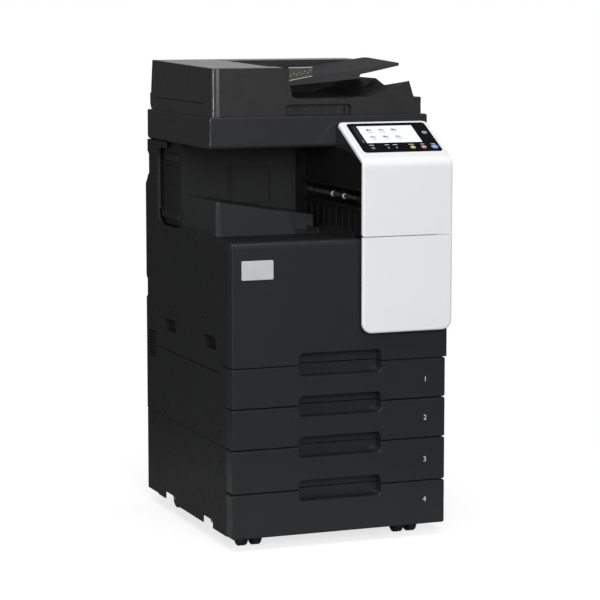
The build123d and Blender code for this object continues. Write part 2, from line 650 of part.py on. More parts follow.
def tower_cover():
    """White cover: upright front, a bend, and the tilted bezel round the panel."""
    face_bend = tower_outline(0)
    back_bend = tower_outline(TOWER_PLATE)
    top = on_panel(TOWER_BACK_SLOPE, 0)
    top_under = on_panel(TOWER_BACK_SLOPE, -TOWER_PLATE)
    low = TOWER_SEAM + 0.8
    outline = [(TOWER_FRONT, low), face_bend, top, top_under, back_bend, (TOWER_FRONT + TOWER_PLATE, low)]
    cover = prism_x(outline, TOWER_LEFT, TOWER_RIGHT)
    bend = [e for e in cover.edges().filter_by(Axis.X) if abs(e.center().Y - face_bend[0]) < 0.01 and
            abs(e.center().Z - face_bend[1]) < 0.01]
    cover = fillet(bend, 26)
    crest = [e for e in cover.edges() if e.center().Z > top_under[1] - 3 and e.bounding_box().size.X < 1 and
             e.length < TOWER_PLATE + 1]
    cover = fillet(crest, 12)
    rim = [e for e in cover.edges() if abs(e.center().X - 153) > 95 and touches_face(e)]
    cover = fillet(rim, 5)
    cover -= block(TOWER_LEFT + 6, TOWER_RIGHT - 6, TOWER_FRONT + 4, TOWER_FRONT + TOWER_PLATE + 1,
                   TOWER_SEAM, 850)
    cover -= panel_slab(*GLASS_X, *GLASS_SLOPE, -GLASS_T, 5, GLASS_CORNER)
    for x, slope, radius, _ in KEYS.values():
        y, z = on_panel(slope, -6)
        cover -= Pos(x, y, z) * Rot(PANEL_TILT, 0, 0) * Cylinder(radius + 0.5, 12)
    return cover


def touches_face(edge):
    """Whether an edge lies on the outer surface of the white cover's sides."""
    x = edge.center().X
    if min(abs(x - TOWER_LEFT), abs(x - TOWER_RIGHT)) > 0.01:
        return False
    if edge.bounding_box().size.X > 0.01:
        return False
    y, z = edge.center().Y, edge.center().Z
    tilt = math.radians(PANEL_TILT)
    above = -(y - PANEL_REF_Y) * math.sin(tilt) + (z - PANEL_REF_Z) * math.cos(tilt)
    return y < TOWER_FRONT + 6 or above > -1


GLASS_X = (60.0, 255.0)
GLASS_SLOPE = (19.0, 146.0)
GLASS_T = 2.0
GLASS_CORNER = 9.0
SCREEN_X = (82.0, 219.0)
SCREEN_SLOPE = (60.0, 134.0)
KEYS = {
    "menu_key": (89.0, 38.0, 6.0, 0.8),
    "reset_key": (187.0, 38.5, 6.0, 0.8),
    "stop_key": (214.0, 38.5, 6.5, 0.8),
    "start_key": (241.0, 38.5, 8.0, 0.8),
}


def panel_glass():
    """Black front pane with a window for the screen and holes for the keys."""
    pane = panel_slab(GLASS_X[0] + 0.3, GLASS_X[1] - 0.3, GLASS_SLOPE[0] + 0.3, GLASS_SLOPE[1] - 0.3,
                      -GLASS_T, 0.2, GLASS_CORNER)
    pane -= panel_slab(*SCREEN_X, *SCREEN_SLOPE, -GLASS_T - 1, 2)
    for x, slope, radius, _ in KEYS.values():
        y, z = on_panel(slope, -1)
        pane -= Pos(x, y, z) * Rot(PANEL_TILT, 0, 0) * Cylinder(radius + 0.5, 12)
    return pane


def touch_screen():
    return panel_slab(SCREEN_X[0] + 0.2, SCREEN_X[1] - 0.2, SCREEN_SLOPE[0] + 0.2, SCREEN_SLOPE[1] - 0.2,
                      -GLASS_T, 0.1)


KEY_BOTTOM = -6.0


def panel_key(name):
    """Round key cap that stands a little proud of the pane."""
    x, slope, radius, proud = KEYS[name]
    cap = Cylinder(radius, proud - KEY_BOTTOM)
    cap = fillet(cap.edges().sort_by(Axis.Z)[-1:], 0.5)
    y, z = on_panel(slope, (proud + KEY_BOTTOM) / 2)
    return Pos(x, y, z) * Rot(PANEL_TILT, 0, 0) * cap


def panel_support():
    """Dark support between the tilted panel and the scanner, hollow and open to the top."""
    gap = TOWER_PLATE + 0.3
    front_top = tower_outline(gap)[1]
    start = on_panel(6, -gap)
    end = on_panel(TOWER_BACK_SLOPE - 6, -gap)
    (y0, z0), (y1, z1), (y2, z2) = SUPPORT_ARC
    lower = ThreePointArc((y0, z0), (y1, z1), (y2, z2))
    upper = Polyline((y2, z2), (y2, end[1] - 2), end, start, (y0, front_top - 1), (y0, z0))
    face = make_face(Plane.YZ * Curve([lower, upper]))
    body = Pos(TOWER_LEFT + 2, 0, 0) * extrude(face, TOWER_RIGHT - TOWER_LEFT - 4, dir=(1, 0, 0))
    cavity = prism_x([(y1 - 40, z1 - 2), (y1, z1 + 6), (y2 - 4, z2 + 6), (y2 - 4, end[1] + 5),
                      (end[0], end[1] + 5), (y1 - 40, z1 + 20)], TOWER_LEFT + 6, TOWER_RIGHT - 6)
    return body - cavity


def tower_side_cover():
    """Right wall of the tower, up to the scanner."""
    return under_support(HALF_W - WALL, HALF_W, SIDE_HINGE[1] + 14, BODY_TOP + 6)


# ---------------------------------------------------------------- front door
DOOR_Z = (TRAY_TOPS[1] + SEAM / 2, BODY_TOP)
PANEL_T = 8.0             # thickness of the white panel on the door


def front_door():
    z0, z1 = DOOR_Z
    door = block(-HALF_W, DOOR_RIGHT, 0, DOOR_RETURN_Y, z0, z1)
    top_edge = [e for e in bounds_edges(door, 1, 0.0) if e.center().Z > z1 - 0.1]
    door = fillet(top_edge, 12)
    rim = [e for e in bounds_edges(door, 0, -HALF_W) + bounds_edges(door, 0, DOOR_RIGHT)
           if e.center().Y < DOOR_RETURN_Y - 0.1 and e.center().Z > z0 + 0.1]
    door = fillet(rim, 3)
    door -= block(-HALF_W + WALL, DOOR_RIGHT - WALL, WALL, DOOR_RETURN_Y + 1, z0 + WALL, z1 - 12)
    door -= block(-HALF_W + WALL, DOOR_RIGHT - WALL, 9, DOOR_RETURN_Y + 1, z1 - 13, z1 - WALL)
    door += block(TOWER_LEFT + 4, TOWER_RIGHT - 4, TOWER_FRONT + PANEL_T, 1, 487, BODY_TOP - 12)
    door += block(TOWER_LEFT + 4, TOWER_RIGHT - 4, TOWER_FRONT + PANEL_T, -0.5, 600, TOWER_SEAM - 4)
    return with_recess(door, z0, TRAY_TOPS[1] + 27, False, 5)


def front_door_panel():
    """White panel on the lower right of the door, in line with the tower."""
    panel = block(TOWER_LEFT, TOWER_RIGHT, TOWER_FRONT, TOWER_FRONT + PANEL_T - 0.1, 481, TOWER_SEAM - 0.8)
    panel = rounded(panel, Axis.Y, 24, lambda c: c.Z < 490)
    rim = [e for e in bounds_edges(panel, 1, TOWER_FRONT) if e.center().Z < TOWER_SEAM - 2]
    return fillet(rim, 5)


def badge():
    """Plain blank plate."""
    plate = block(-237, -162, -1.6, -0.05, 612, 655)
    return rounded(plate, Axis.Y, 3)


# ---------------------------------------------------------------- right-hand doors
ARM_HEIGHT = 24.0


def side_door(z0, z1, arms):
    """Door over the vertical paper path, with two hinge arms at its rear edge."""
    door = block(FRAME_RIGHT + 2, SIDE_DOOR_X, FRAME_FRONT + 1, 540, z0, z1)
    door = rounded(door, Axis.Z, 6, lambda c: c.X > 270)
    door -= block(FRAME_RIGHT + 1, SIDE_DOOR_X - WALL, FRAME_FRONT + 4, 537, z0 + WALL, z1 - WALL)
    for y in range(80, 520, 40):
        door += block(FRAME_RIGHT + 8, SIDE_DOOR_X - WALL + 0.5, y, y + 2, z0 + WALL - 0.5, z1 - WALL + 0.5)
    x, y = SIDE_HINGE
    for z in arms:
        arm = block(x - 3, x + 3, 536, y, z, z + ARM_HEIGHT) + rod_z(6, z, z + ARM_HEIGHT, x, y)
        door += arm - rod_z(3 + FIT, z - 1, z + ARM_HEIGHT + 1, x, y)
    return door


def side_door_hinges(arms):
    """Fixed pins for one right-hand door."""
    x, y = SIDE_HINGE
    parts = []
    for z in arms:
        bracket = block(FRAME_RIGHT, x + 4, y - 4, y + 9, z - 3.5, z - 0.5)
        bracket += rod_z(3, z - 1, z + ARM_HEIGHT - 2, x, y)
        parts.append(bracket)
    return parts


RIGHT_DOOR_Z = (CABINET_TOP + 2, 688.0)
RIGHT_DOOR_ARMS = (251.0, 644.0)
CABINET_DOOR_Z = (PANEL_BOTTOM + 4, CABINET_TOP - 2)
CABINET_DOOR_ARMS = (78.0, 183.0)
BYPASS_Y = (160.0, 482.0)
BYPASS_Z = (470.0, 672.0)
BYPASS_HINGE = (314.0, 462.0)


def right_door():
    """Right-hand door with the housing that the bypass tray folds against."""
    door = side_door(*RIGHT_DOOR_Z, RIGHT_DOOR_ARMS)
    y0, y1 = BYPASS_Y
    z0, z1 = BYPASS_Z
    inner = SIDE_DOOR_X - WALL
    housing = block(inner, 302, y0 - 4, y1 + 4, z0 - 26, z1 + 3)
    housing = rounded(housing, Axis.Y, 8, lambda c: c.X > 300)
    door += housing
    door -= block(inner - 1, 299, y0, y1, z0 - 22, z1 - 6)
    door += block(inner, 300, y0 + 11, y1 - 11, z0 + 17, z0 + 63)
    door -= block(SIDE_DOOR_X, 303, y0 + 14, y1 - 14, z0 + 20, z0 + 60)
    x, z = BYPASS_HINGE
    for y in (y0 - 4, y1 - 4):
        lug = block(300, x, y, y + 8, z - 7, z + 7) + rod_y(7, y, y + 8, x, z)
        door += lug - rod_y(3 + FIT, y - 1, y + 9, x, z)
    return door


def bypass_tray():
    """Fold-down tray for single sheets, with its pivot pins."""
    y0, y1 = BYPASS_Y
    z0, z1 = BYPASS_Z
    x, z = BYPASS_HINGE
    tray = block(303.5, BYPASS_X, y0, y1, z0, z1)
    tray = rounded(tray, Axis.X, 8, lambda c: c.Z > z1 - 1)
    tray -= block(303, BYPASS_X - WALL, y0 + 14, y1 - 14, z0 + 6, z1 - 6)
    tray += block(310, BYPASS_X - WALL + 1, 250, 390, z0 + 5, z1 - 40)
    tray += block(308, 320, y0 + 6, y1 - 6, z, z0 + 1) + rod_y(6, y0 + 6, y1 - 6, x, z)
    return tray + rod_y(3, y0 - 3, y0 + 7, x, z) + rod_y(3, y1 - 7, y1 + 3, x, z)


# ---------------------------------------------------------------- scanner
def scanner_housing():
    low, high = SCANNER_BOTTOM, SCANNER_TOP - 13
    housing = block(-HALF_W, SCANNER_RIGHT, SCANNER_FRONT, SCANNER_REAR, low, high)
    housing = rounded(housing, Axis.Z, 4)
    lower_front = [e for e in bounds_edges(housing, 2, low) if e.center().Y < SCANNER_FRONT + 5]
    housing = fillet(lower_front, 9)
    housing -= block(-HALF_W + 5, SCANNER_RIGHT - 5, SCANNER_FRONT + 11, SCANNER_REAR - 5, low + 3, high + 1)
    rail = rod_x(RAIL_R, -HALF_W + 5, SCANNER_RIGHT - 5, RAIL_Y, RAIL_Z)
    return [housing, rail]


RAIL_R = 5.0
RAIL_Y = 200.0
RAIL_Z = 910.0
PLATEN = (-170.0, 262.0, 185.0, 485.0)
SLIT = (-228.0, -204.0, 185.0, 485.0)
GLASS_REBATE = 4.0


def scanner_top_frame():
    low, high = SCANNER_TOP - 13, SCANNER_TOP
    frame = block(-HALF_W, SCANNER_RIGHT, SCANNER_FRONT, SCANNER_REAR, low, high)
    frame = rounded(frame, Axis.Z, 4)
    frame = fillet(bounds_edges(frame, 2, high), 4)
    frame -= block(-HALF_W + 5, SCANNER_RIGHT - 5, SCANNER_FRONT + 11, SCANNER_REAR - 5, low - 1, high - 7)
    for x0, x1, y0, y1 in (PLATEN, SLIT):
        frame -= block(x0, x1, y0, y1, low - 1, high + 1)
        frame -= block(x0 - GLASS_REBATE, x1 + GLASS_REBATE, y0 - GLASS_REBATE, y1 + GLASS_REBATE,
                       high - 5, high + 1)
    return frame


def platen_glass():
    """Large pane for originals and the narrow pane that the feeder scans through."""
    edge = GLASS_REBATE - 0.4
    return [block(x0 - edge, x1 + edge, y0 - edge, y1 + edge, SCANNER_TOP - 5, SCANNER_TOP - 1)
            for x0, x1, y0, y1 in (PLATEN, SLIT)]


CARRIAGE_X = (-240.0, -190.0)


def scan_carriage():
    """Moving carriage with its light bar and mirror slot."""
    x0, x1 = CARRIAGE_X
    body = block(x0, x1, 168, 575, 898, 930) + block(x0 + 4, x0 + 20, 180, 500, 930, 944)
    body -= block(x0 + 28, x1 - 8, 185, 485, 910, 931)
    return body - rod_x(RAIL_R + FIT, x0 - 1, x1 + 1, RAIL_Y, RAIL_Z)


# ---------------------------------------------------------------- document feeder
ADF_HINGE_Y = 588.0
ADF_HINGE_Z = 973.0
ADF_HINGES = (-190.0, 190.0)
HINGE_PIN_R = 3.5
FEED_HINGE = (-247.0, 1001.0)
FEED_SWEEP_R = 10.0       # room for the feed cover's lower edge as it turns
FEED_COVER_Y = (204.0, 559.0)
TRAY_HINGE = (-86.0, 1032.0)
TRAY_Y = (192.0, 490.0)
GRIP_X = (-74.0, 88.0)
RAIL_FRONT = 506.0
PAD_X = (-172.0, 256.0)
PAD_Y = (174.0, 486.0)


def feeder_profile():
    """Front view of the feeder box: top, drooping right end and its foot on the deck."""
    return [(ADF_LEFT, ADF_DECK - 1), (ADF_LEFT, ADF_TOP_REAR + 9), (-84, ADF_TOP_REAR + 9),
            (-81, ADF_TOP), (-66, ADF_TOP - 28), (-58, ADF_DECK + 6), (-46, ADF_DECK - 1)]


def above_feeder():
    """Everything over the feeder's rising top and behind its leaning rear face."""
    high = ADF_TOP_REAR + 40
    top = prism_x([(ADF_FRONT - 5, ADF_TOP), (ADF_REAR + 5, ADF_TOP_REAR), (ADF_REAR + 5, high),
                   (ADF_FRONT - 5, high)], ADF_LEFT - 5, ADF_RIGHT + 5)
    rear = prism_x([(ADF_REAR, ADF_BOTTOM), (ADF_REAR_TOP, ADF_TOP_REAR + 4), (ADF_REAR_TOP, high),
                    (ADF_REAR + 20, high), (ADF_REAR + 20, ADF_BOTTOM)], ADF_LEFT - 5, ADF_RIGHT + 5)
    return top + rear


def exit_ramp():
    """Ramp that stops the delivered originals, with a V-shaped dip for the hand."""
    ramp = prism_y([(128, ADF_DECK - 1), (234, ADF_DECK + 37), (246, ADF_DECK - 1)], 154, 506)
    dip = prism_x([(158, ADF_DECK + 60), (160, ADF_DECK + 36), (290, ADF_DECK + 15),
                   (412, ADF_DECK + 60)], 100, 260)
    return ramp - dip


def feeder_mechanism():
    """Feed guide and separation rollers under the feed cover."""
    profile = [(-234, ADF_DECK - 1), (-234, 1030), (-218, 1046), (-150, 1050), (-108, 1040),
               (-100, ADF_DECK - 1)]
    unit = prism_y(profile, 210, 552)
    for y in (310, 360, 410):
        unit += rod_y(12, y, y + 24, -150, 1048)
    return unit


def feeder_walls():
    """Front and rear ends of the feeder box and the rail behind the document tray."""
    front = prism_y(feeder_profile(), ADF_FRONT, FEED_COVER_Y[0] - 1)
    rear = prism_y(feeder_profile(), FEED_COVER_Y[1] + 1, ADF_REAR)
    rail = block(-90, 248, RAIL_FRONT, ADF_REAR, ADF_DECK - 1, ADF_TOP_REAR + 20)
    return front + rear + rail - above_feeder()


def with_round_edges(body):
    """Large radius on the front left corner, small ones on the top's edges."""
    body = rounded(body, Axis.Z, 20, lambda c: c.X < ADF_LEFT + 0.1 and c.Y < ADF_FRONT + 0.1)
    crown = [e for e in body.edges() if e.center().Z > ADF_TOP - 6 and e.center().Y < ADF_FRONT + 20
             and e.bounding_box().size.X > 8]
    return fillet(crown, 2.5)


def hinge_slot(x):
    """Room in the lid round one hinge bracket."""
    slot = rod_x(13, x - 26, x + 26, ADF_HINGE_Y, ADF_HINGE_Z)
    return slot + block(x - 26, x + 26, ADF_HINGE_Y - 20, ADF_REAR + 5, ADF_BOTTOM - 1, ADF_HINGE_Z)


def hinge_knuckle(x):
    knuckle = rod_x(7, x - 16, x + 16, ADF_HINGE_Y, ADF_HINGE_Z)
    knuckle += block(x - 16, x + 16, ADF_HINGE_Y - 16, ADF_HINGE_Y + 2, ADF_HINGE_Z, ADF_HINGE_Z + 17)
    return knuckle - rod_x(HINGE_PIN_R + FIT, x - 17, x + 17, ADF_HINGE_Y, ADF_HINGE_Z)


def lid_hollow():
    """Space inside the lid, closed below by the pad."""
    roof = ADF_DECK - 3
    hollow = block(-228, 250, 180, 560, ADF_BOTTOM + 7, roof)
    hollow += block(-165, 250, 180, 480, ADF_BOTTOM + 4, roof)
    hollow += block(-226, -106, 216, 546, roof - 1, 1028)
    hollow += block(-236, -96, 158, 196, ADF_BOTTOM + 20, ADF_TOP - 5)
    return hollow + block(-76, 242, RAIL_FRONT + 4, 570, roof - 1, ADF_TOP_REAR - 6)


def adf_base():
    """Lid body of the document feeder."""
    body = block(ADF_LEFT, ADF_RIGHT, ADF_FRONT, ADF_REAR, ADF_BOTTOM, ADF_DECK)
    body = rounded(body, Axis.Z, 5, lambda c: c.X > 0)
    body = with_round_edges(body + feeder_walls())
    body += exit_ramp() + feeder_mechanism()
    y0, y1 = FEED_COVER_Y
    body -= rod_y(FEED_SWEEP_R, y0 - 1, y1 + 1, *FEED_HINGE)
    body -= block(ADF_LEFT - 1, FEED_HINGE[0], y0 - 1, y1 + 1, FEED_HINGE[1] - 5, ADF_DECK + 20)
    body -= lid_hollow()
    grip = block(GRIP_X[0], GRIP_X[1], ADF_FRONT - 1, ADF_FRONT + 20, ADF_BOTTOM - 1, 990)
    body -= rounded(grip, Axis.Y, 9, lambda c: c.Z > 980)
    for x in (66, 76):
        body += block(x, x + 2.5, ADF_FRONT + 8, ADF_FRONT + 21, ADF_BOTTOM, 990.5)
    body -= block(PAD_X[0] - 0.5, PAD_X[1] + 0.5, PAD_Y[0] - 0.5, PAD_Y[1] + 0.5,
                  ADF_BOTTOM - 1, ADF_BOTTOM + 5)
    body -= block(-232, -196, 182, 488, ADF_BOTTOM - 1, ADF_BOTTOM + 3)
    body -= prism_x([(ADF_REAR - 10, ADF_BOTTOM - 1), (ADF_REAR + 1, ADF_BOTTOM + 14),
                     (ADF_REAR + 1, ADF_BOTTOM - 1)], ADF_LEFT - 1, ADF_RIGHT + 1)
    for x in ADF_HINGES:
        body = body - hinge_slot(x) + hinge_knuckle(x)
    x, z = FEED_HINGE
    body += rod_y(2, y0 - 4, y0 + 12, x, z) + rod_y(2, y1 - 12, y1 + 4, x, z)
    x, z = TRAY_HINGE
    return body - rod_y(3 + FIT, y0 - 10, y0, x, z) - rod_y(3 + FIT, RAIL_FRONT - 1, RAIL_FRONT + 14, x, z)


def adf_pad():
    """White pad that presses originals on the glass."""
    return rounded(block(*PAD_X, *PAD_Y, ADF_BOTTOM + 0.2, ADF_BOTTOM + 5), Axis.Z, 4)


def adf_feed_cover():
    """Cover over the feed rollers, hinged along its left edge."""
    low = FEED_HINGE[1] - 6.5
    high = ADF_TOP_REAR + 9
    y0, y1 = FEED_COVER_Y
    outer = prism_y([(ADF_LEFT, low), (ADF_LEFT, high), (-96, high), (-96, ADF_DECK + 62),
                     (ADF_LEFT + 30, ADF_DECK + 62), (ADF_LEFT + 3, ADF_DECK + 30),
                     (ADF_LEFT + 3, low)], y0, y1)
    outer -= above_feeder()
    ledge = [e for e in outer.edges() if e.center().X < ADF_LEFT + 4 and
             e.center().Z > ADF_TOP - 1 and e.length > 99]
    outer = fillet(ledge, 2.5)
    outer -= block(ADF_LEFT + 12, -100, y0 + 4, y1 - 4, ADF_DECK + 50, ADF_TOP - 3)
    x, z = FEED_HINGE
    for y in (y0 + 1, y1 - 11):
        outer += block(ADF_LEFT + 1.5, x, y, y + 10, z, z + 24) + rod_y(4, y, y + 10, x, z)
        outer -= rod_y(2 + FIT, y - 1, y + 11, x, z)
    return outer


TRAY_RISE = 0.17
TRAY_BEND_X = 51.0


def tray_surface(x):
    """Height of the document tray's upper face at x, left of its bend."""
    return 1040.0 + TRAY_RISE * (x + 52.0)


def document_tray():
    """Sloping tray for originals, which pivots at its left end."""
    y0, y1 = TRAY_Y
    bend = tray_surface(TRAY_BEND_X)
    tip = 1086.0
    outline = [(-90, tray_surface(-90) - 5), (-90, tray_surface(-90)), (TRAY_BEND_X, bend), (262, tip),
               (262, tip - 4), (150, bend + 2), (128, bend - 2), (122, bend - 12), (30, bend - 20)]
    tray = prism_y(outline, y0, y1)
    tray -= extrude(Plane.XY.offset(900) * make_face(Polyline(
        (224, y0 - 1), (262, y1 - 30), (262, y1 + 1), (300, y1 + 1), (300, y0 - 1), close=True)), 300)
    wall_end = FEED_COVER_Y[0] - 1
    tray -= block(-95, -50, y0 - 1, wall_end + 1, 1000, 1100)
    x, z = TRAY_HINGE
    for y in (wall_end + 1, y1 - 20):
        tray += rod_y(5, y, y + 20, x, z)
    return tray + rod_y(3, wall_end - 8, wall_end + 2, x, z) + rod_y(3, y1 - 1, RAIL_FRONT + 13, x, z)


GUIDE_X = (-51.0, 11.0)
GUIDE_TOP = 1074.0


def document_guide(front):
    """Width guide on the document tray; the two guides move together."""
    x0, x1 = GUIDE_X
    lift = 0.3
    low0, low1 = tray_surface(x0) + lift, tray_surface(x1) + lift
    foot = [(x0, low0), (x1, low1), (x1, low1 + 2.5), (x0, low0 + 2.5)]
    wall = [(x0, low0), (x1, low1), (x1 + 2, GUIDE_TOP - 4), (x1 - 3, GUIDE_TOP + 1), (x0, GUIDE_TOP)]
    if front:
        return prism_y(wall, 194, 197) + prism_y(foot, 194, 216)
    return prism_y(wall, 485, 488) + prism_y(foot, 466, 488)


def adf_hinges():
    """Two hinge brackets on the scanner with their pins."""
    parts = []
    for x in ADF_HINGES:
        bracket = block(x - 24, x + 24, ADF_HINGE_Y - 16, ADF_HINGE_Y + 9, SCANNER_TOP, SCANNER_TOP + 1.5)
        for ear in (x - 20, x + 20):
            bracket += block(ear - 2.5, ear + 2.5, ADF_HINGE_Y - 7, ADF_HINGE_Y + 7, SCANNER_TOP + 1,
                             ADF_HINGE_Z + 8)
        parts.append(bracket + rod_x(HINGE_PIN_R, x - 21, x + 21, ADF_HINGE_Y, ADF_HINGE_Z))
    return parts


# ---------------------------------------------------------------- casters
def caster_fork(name):
    """Swivel head with its kingpin and the web that carries the axle."""
    x, y = CASTERS[name]
    axle_y = y - TRAIL
    top = CABINET_DECK - 3.5
    head = rod_z(20, top - 5, top, x, y)
    web = prism_x([(axle_y - 8, WHEEL_R - 4), (axle_y + 8, WHEEL_R - 6), (y + 14, top - 4), (y - 14, top - 4),
                   (axle_y - 8, WHEEL_R + 6)], x - 5.5, x + 5.5)
    kingpin = rod_z(KINGPIN_R, top - 1, CABINET_DECK + 1.5, x, y)
    return head + web + kingpin - rod_x(4 + FIT, x - 7, x + 7, axle_y, WHEEL_R)


def caster_wheels(name):
    """Two wheels pressed on one axle."""
    x, y = CASTERS[name]
    axle_y = y - TRAIL
    wheels = []
    for side in (-1, 1):
        middle = x + side * WHEEL_OFFSET
        wheel = rod_x(WHEEL_R, middle - WHEEL_W / 2, middle + WHEEL_W / 2, axle_y, WHEEL_R)
        wheel = fillet(wheel.edges(), 3)
        face = middle + side * WHEEL_W / 2
        dish = rod_x(14, face - 1.5, face + 1.5, axle_y, WHEEL_R)
        wheel -= dish - rod_x(7, face - 2, face + 2, axle_y, WHEEL_R)
        wheel -= rod_x(4, x - 14, x + 14, axle_y, WHEEL_R)
        wheels.append(wheel)
    return wheels + [rod_x(4, x - 14, x + 14, axle_y, WHEEL_R)]


# ---------------------------------------------------------------- export
def all_nodes():
    """Every node's name with its solids."""
    nodes = {
        "cabinet_frame": [cabinet_frame()] + floor_brackets() + side_door_hinges(CABINET_DOOR_ARMS),
        "cabinet_left_cover": [drilled(cabinet_left_cover(), CABINET_SCREWS)],
        "rear_covers": [main_rear_cover(), cabinet_rear_cover()],
        "main_frame": [main_frame()] + side_door_hinges(RIGHT_DOOR_ARMS),
        "left_covers": left_covers(),
        "inner_cover": [inner_cover()],
        "output_tray": [output_tray()],
        "inner_rear_wall": [inner_rear_wall()],
        "exit_cover": [exit_cover()],
        "tower_cover": [tower_cover()],
        "tower_side_cover": [tower_side_cover()],
        "panel_support": [panel_support()],
        "panel_glass": [panel_glass()],
        "touch_screen": [touch_screen()],
        "scanner_housing": scanner_housing(),
        "scanner_top_frame": [scanner_top_frame()],
        "platen_glass": platen_glass(),
        "adf_hinges": adf_hinges(),
        "power_inlet": [power_inlet()],
        "cover_screws": cover_screws(),
        "imaging_units": imaging_units(),
        "print_head_unit": [print_head_unit()],
        "transfer_belt_unit": transfer_belt_unit(),
        "fuser_unit": fuser_unit(),
        "toner_cartridges": toner_cartridges(),
        "waste_toner_box": [waste_toner_box()],
        "front_door": [front_door()],
        "front_door_panel": [front_door_panel()],
        "badge": [badge()],
        "right_door": [right_door()],
        "bypass_tray": [bypass_tray()],
        "cabinet_right_door": [side_door(*CABINET_DOOR_Z, CABINET_DOOR_ARMS)],
        "adf_base": [adf_base()],
        "adf_pad": [adf_pad()],
        "adf_feed_cover": [adf_feed_cover()],
        "document_tray": [document_tray()],
        "document_guide_front": [document_guide(True)],
        "document_guide_rear": [document_guide(False)],
        "scan_carriage": [scan_carriage()],
        "exit_rollers": exit_rollers(),
    }
    for name in KEYS:
        nodes[name] = [panel_key(name)]
    for number in (1, 2, 3, 4):
        nodes[f"tray_front_{number}"] = [tray_front(number)]
        nodes[f"tray_box_{number}"] = tray_box(number)
    for name in CASTERS:
        nodes[f"caster_fork_{name}"] = [caster_fork(name)]
        nodes[f"caster_wheels_{name}"] = caster_wheels(name)
    return nodes


def to_origin(piece):
    return Pos(-ORIGIN[0], -ORIGIN[1], -ORIGIN[2]) * piece


if __name__ == "__main__":
    os.makedirs("parts", exist_ok=True)
    for node, pieces in all_nodes().items():
        moved = [solid for piece in pieces for solid in to_origin(piece).solids()]
        export_step(Compound(children=moved) if len(moved) > 1 else moved[0], f"parts/{node}.step")
        print(node, len(moved))
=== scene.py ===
import json
import math

import bmesh
import bpy
from mathutils import Matrix, Vector


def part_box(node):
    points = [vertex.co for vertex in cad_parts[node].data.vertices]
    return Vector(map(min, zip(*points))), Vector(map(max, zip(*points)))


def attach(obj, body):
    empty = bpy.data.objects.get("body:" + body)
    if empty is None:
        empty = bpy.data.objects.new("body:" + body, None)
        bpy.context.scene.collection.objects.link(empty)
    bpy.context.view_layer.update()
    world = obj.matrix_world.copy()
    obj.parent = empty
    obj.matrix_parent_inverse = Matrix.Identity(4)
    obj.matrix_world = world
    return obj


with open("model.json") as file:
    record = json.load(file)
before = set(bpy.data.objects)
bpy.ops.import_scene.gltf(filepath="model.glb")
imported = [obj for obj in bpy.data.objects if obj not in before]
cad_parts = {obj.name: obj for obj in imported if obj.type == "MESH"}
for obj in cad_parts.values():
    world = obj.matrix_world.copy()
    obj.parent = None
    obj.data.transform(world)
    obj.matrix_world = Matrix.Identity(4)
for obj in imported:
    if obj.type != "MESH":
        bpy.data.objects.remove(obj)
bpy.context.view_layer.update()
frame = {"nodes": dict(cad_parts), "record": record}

# ---------------------------------------------------------------- places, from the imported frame
front_low, front_high = (Vector(p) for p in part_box("tray_front_1"))
CENTRE_X = (front_low.x + front_high.x) / 2
FRONT_Y = front_low.y
MM = 0.001
WHITE_ROLLER_Y = (92.0, 161.0)
WHITE_ROLLER_HALF_WIDTH = 0.0045
TONER_RING_X = (-190.0, -118.0, -46.0, 26.0)
PANEL_TILT = math.radians(27.9)
PANEL_REF = (-9.0, 877.5)


def place(x, y, z):
    """Row-frame point from millimetres off the body's centreline, the tray fronts and the floor."""
    return Vector((CENTRE_X + x * MM, FRONT_Y + y * MM, z * MM))


def front_plane(x, y, z):
    """Local u to the right, v up, w out of a front face."""
    return Matrix.Translation(place(x, y, z)) @ Matrix.Rotation(math.pi / 2, 4, "X")


def top_plane(x, y, z):
    return Matrix.Translation(place(x, y, z))


def panel_plane(x, slope, above=0.0):
    """Local u to the right, v up the slope, w out of the touch panel."""
    y = PANEL_REF[0] + slope * math.cos(PANEL_TILT) - above * math.sin(PANEL_TILT)
    z = PANEL_REF[1] + slope * math.sin(PANEL_TILT) + above * math.cos(PANEL_TILT)
    return Matrix.Translation(place(x, y, z)) @ Matrix.Rotation(PANEL_TILT, 4, "X")


# ---------------------------------------------------------------- node materials
def new_material(name):
    material = bpy.data.materials.new(name)
    material.use_nodes = True
    tree = material.node_tree
    tree.nodes.clear()
    out = tree.nodes.new("ShaderNodeOutputMaterial")
    shader = tree.nodes.new("ShaderNodeBsdfPrincipled")
    tree.links.new(shader.outputs["BSDF"], out.inputs["Surface"])
    return material, tree, shader


def noise(tree, coords, scale, detail=3.0, rough=0.55):
    node = tree.nodes.new("ShaderNodeTexNoise")
    node.inputs["Scale"].default_value = scale
    node.inputs["Detail"].default_value = detail
    node.inputs["Roughness"].default_value = rough
    tree.links.new(coords, node.inputs["Vector"])
    return node.outputs["Fac"]


def remap(tree, value, low, high, from_low=0.3, from_high=0.7):
    node = tree.nodes.new("ShaderNodeMapRange")
    node.inputs["From Min"].default_value = from_low
    node.inputs["From Max"].default_value = from_high
    node.inputs["To Min"].default_value = low
    node.inputs["To Max"].default_value = high
    tree.links.new(value, node.inputs["Value"])
    return node.outputs["Result"]


def mix_colour(tree, factor, first, second):
    """Blend of two colours, each a tuple or a socket."""
    node = tree.nodes.new("ShaderNodeMix")
    node.data_type = "RGBA"
    tree.links.new(factor, node.inputs[0])
    for socket, colour in ((node.inputs[6], first), (node.inputs[7], second)):
        if isinstance(colour, tuple):
            socket.default_value = (*colour[:3], 1.0)
        else:
            tree.links.new(colour, socket)
    return node.outputs[2]


def shade(colour, factor):
    return tuple(min(1.0, c * factor) for c in colour[:3])


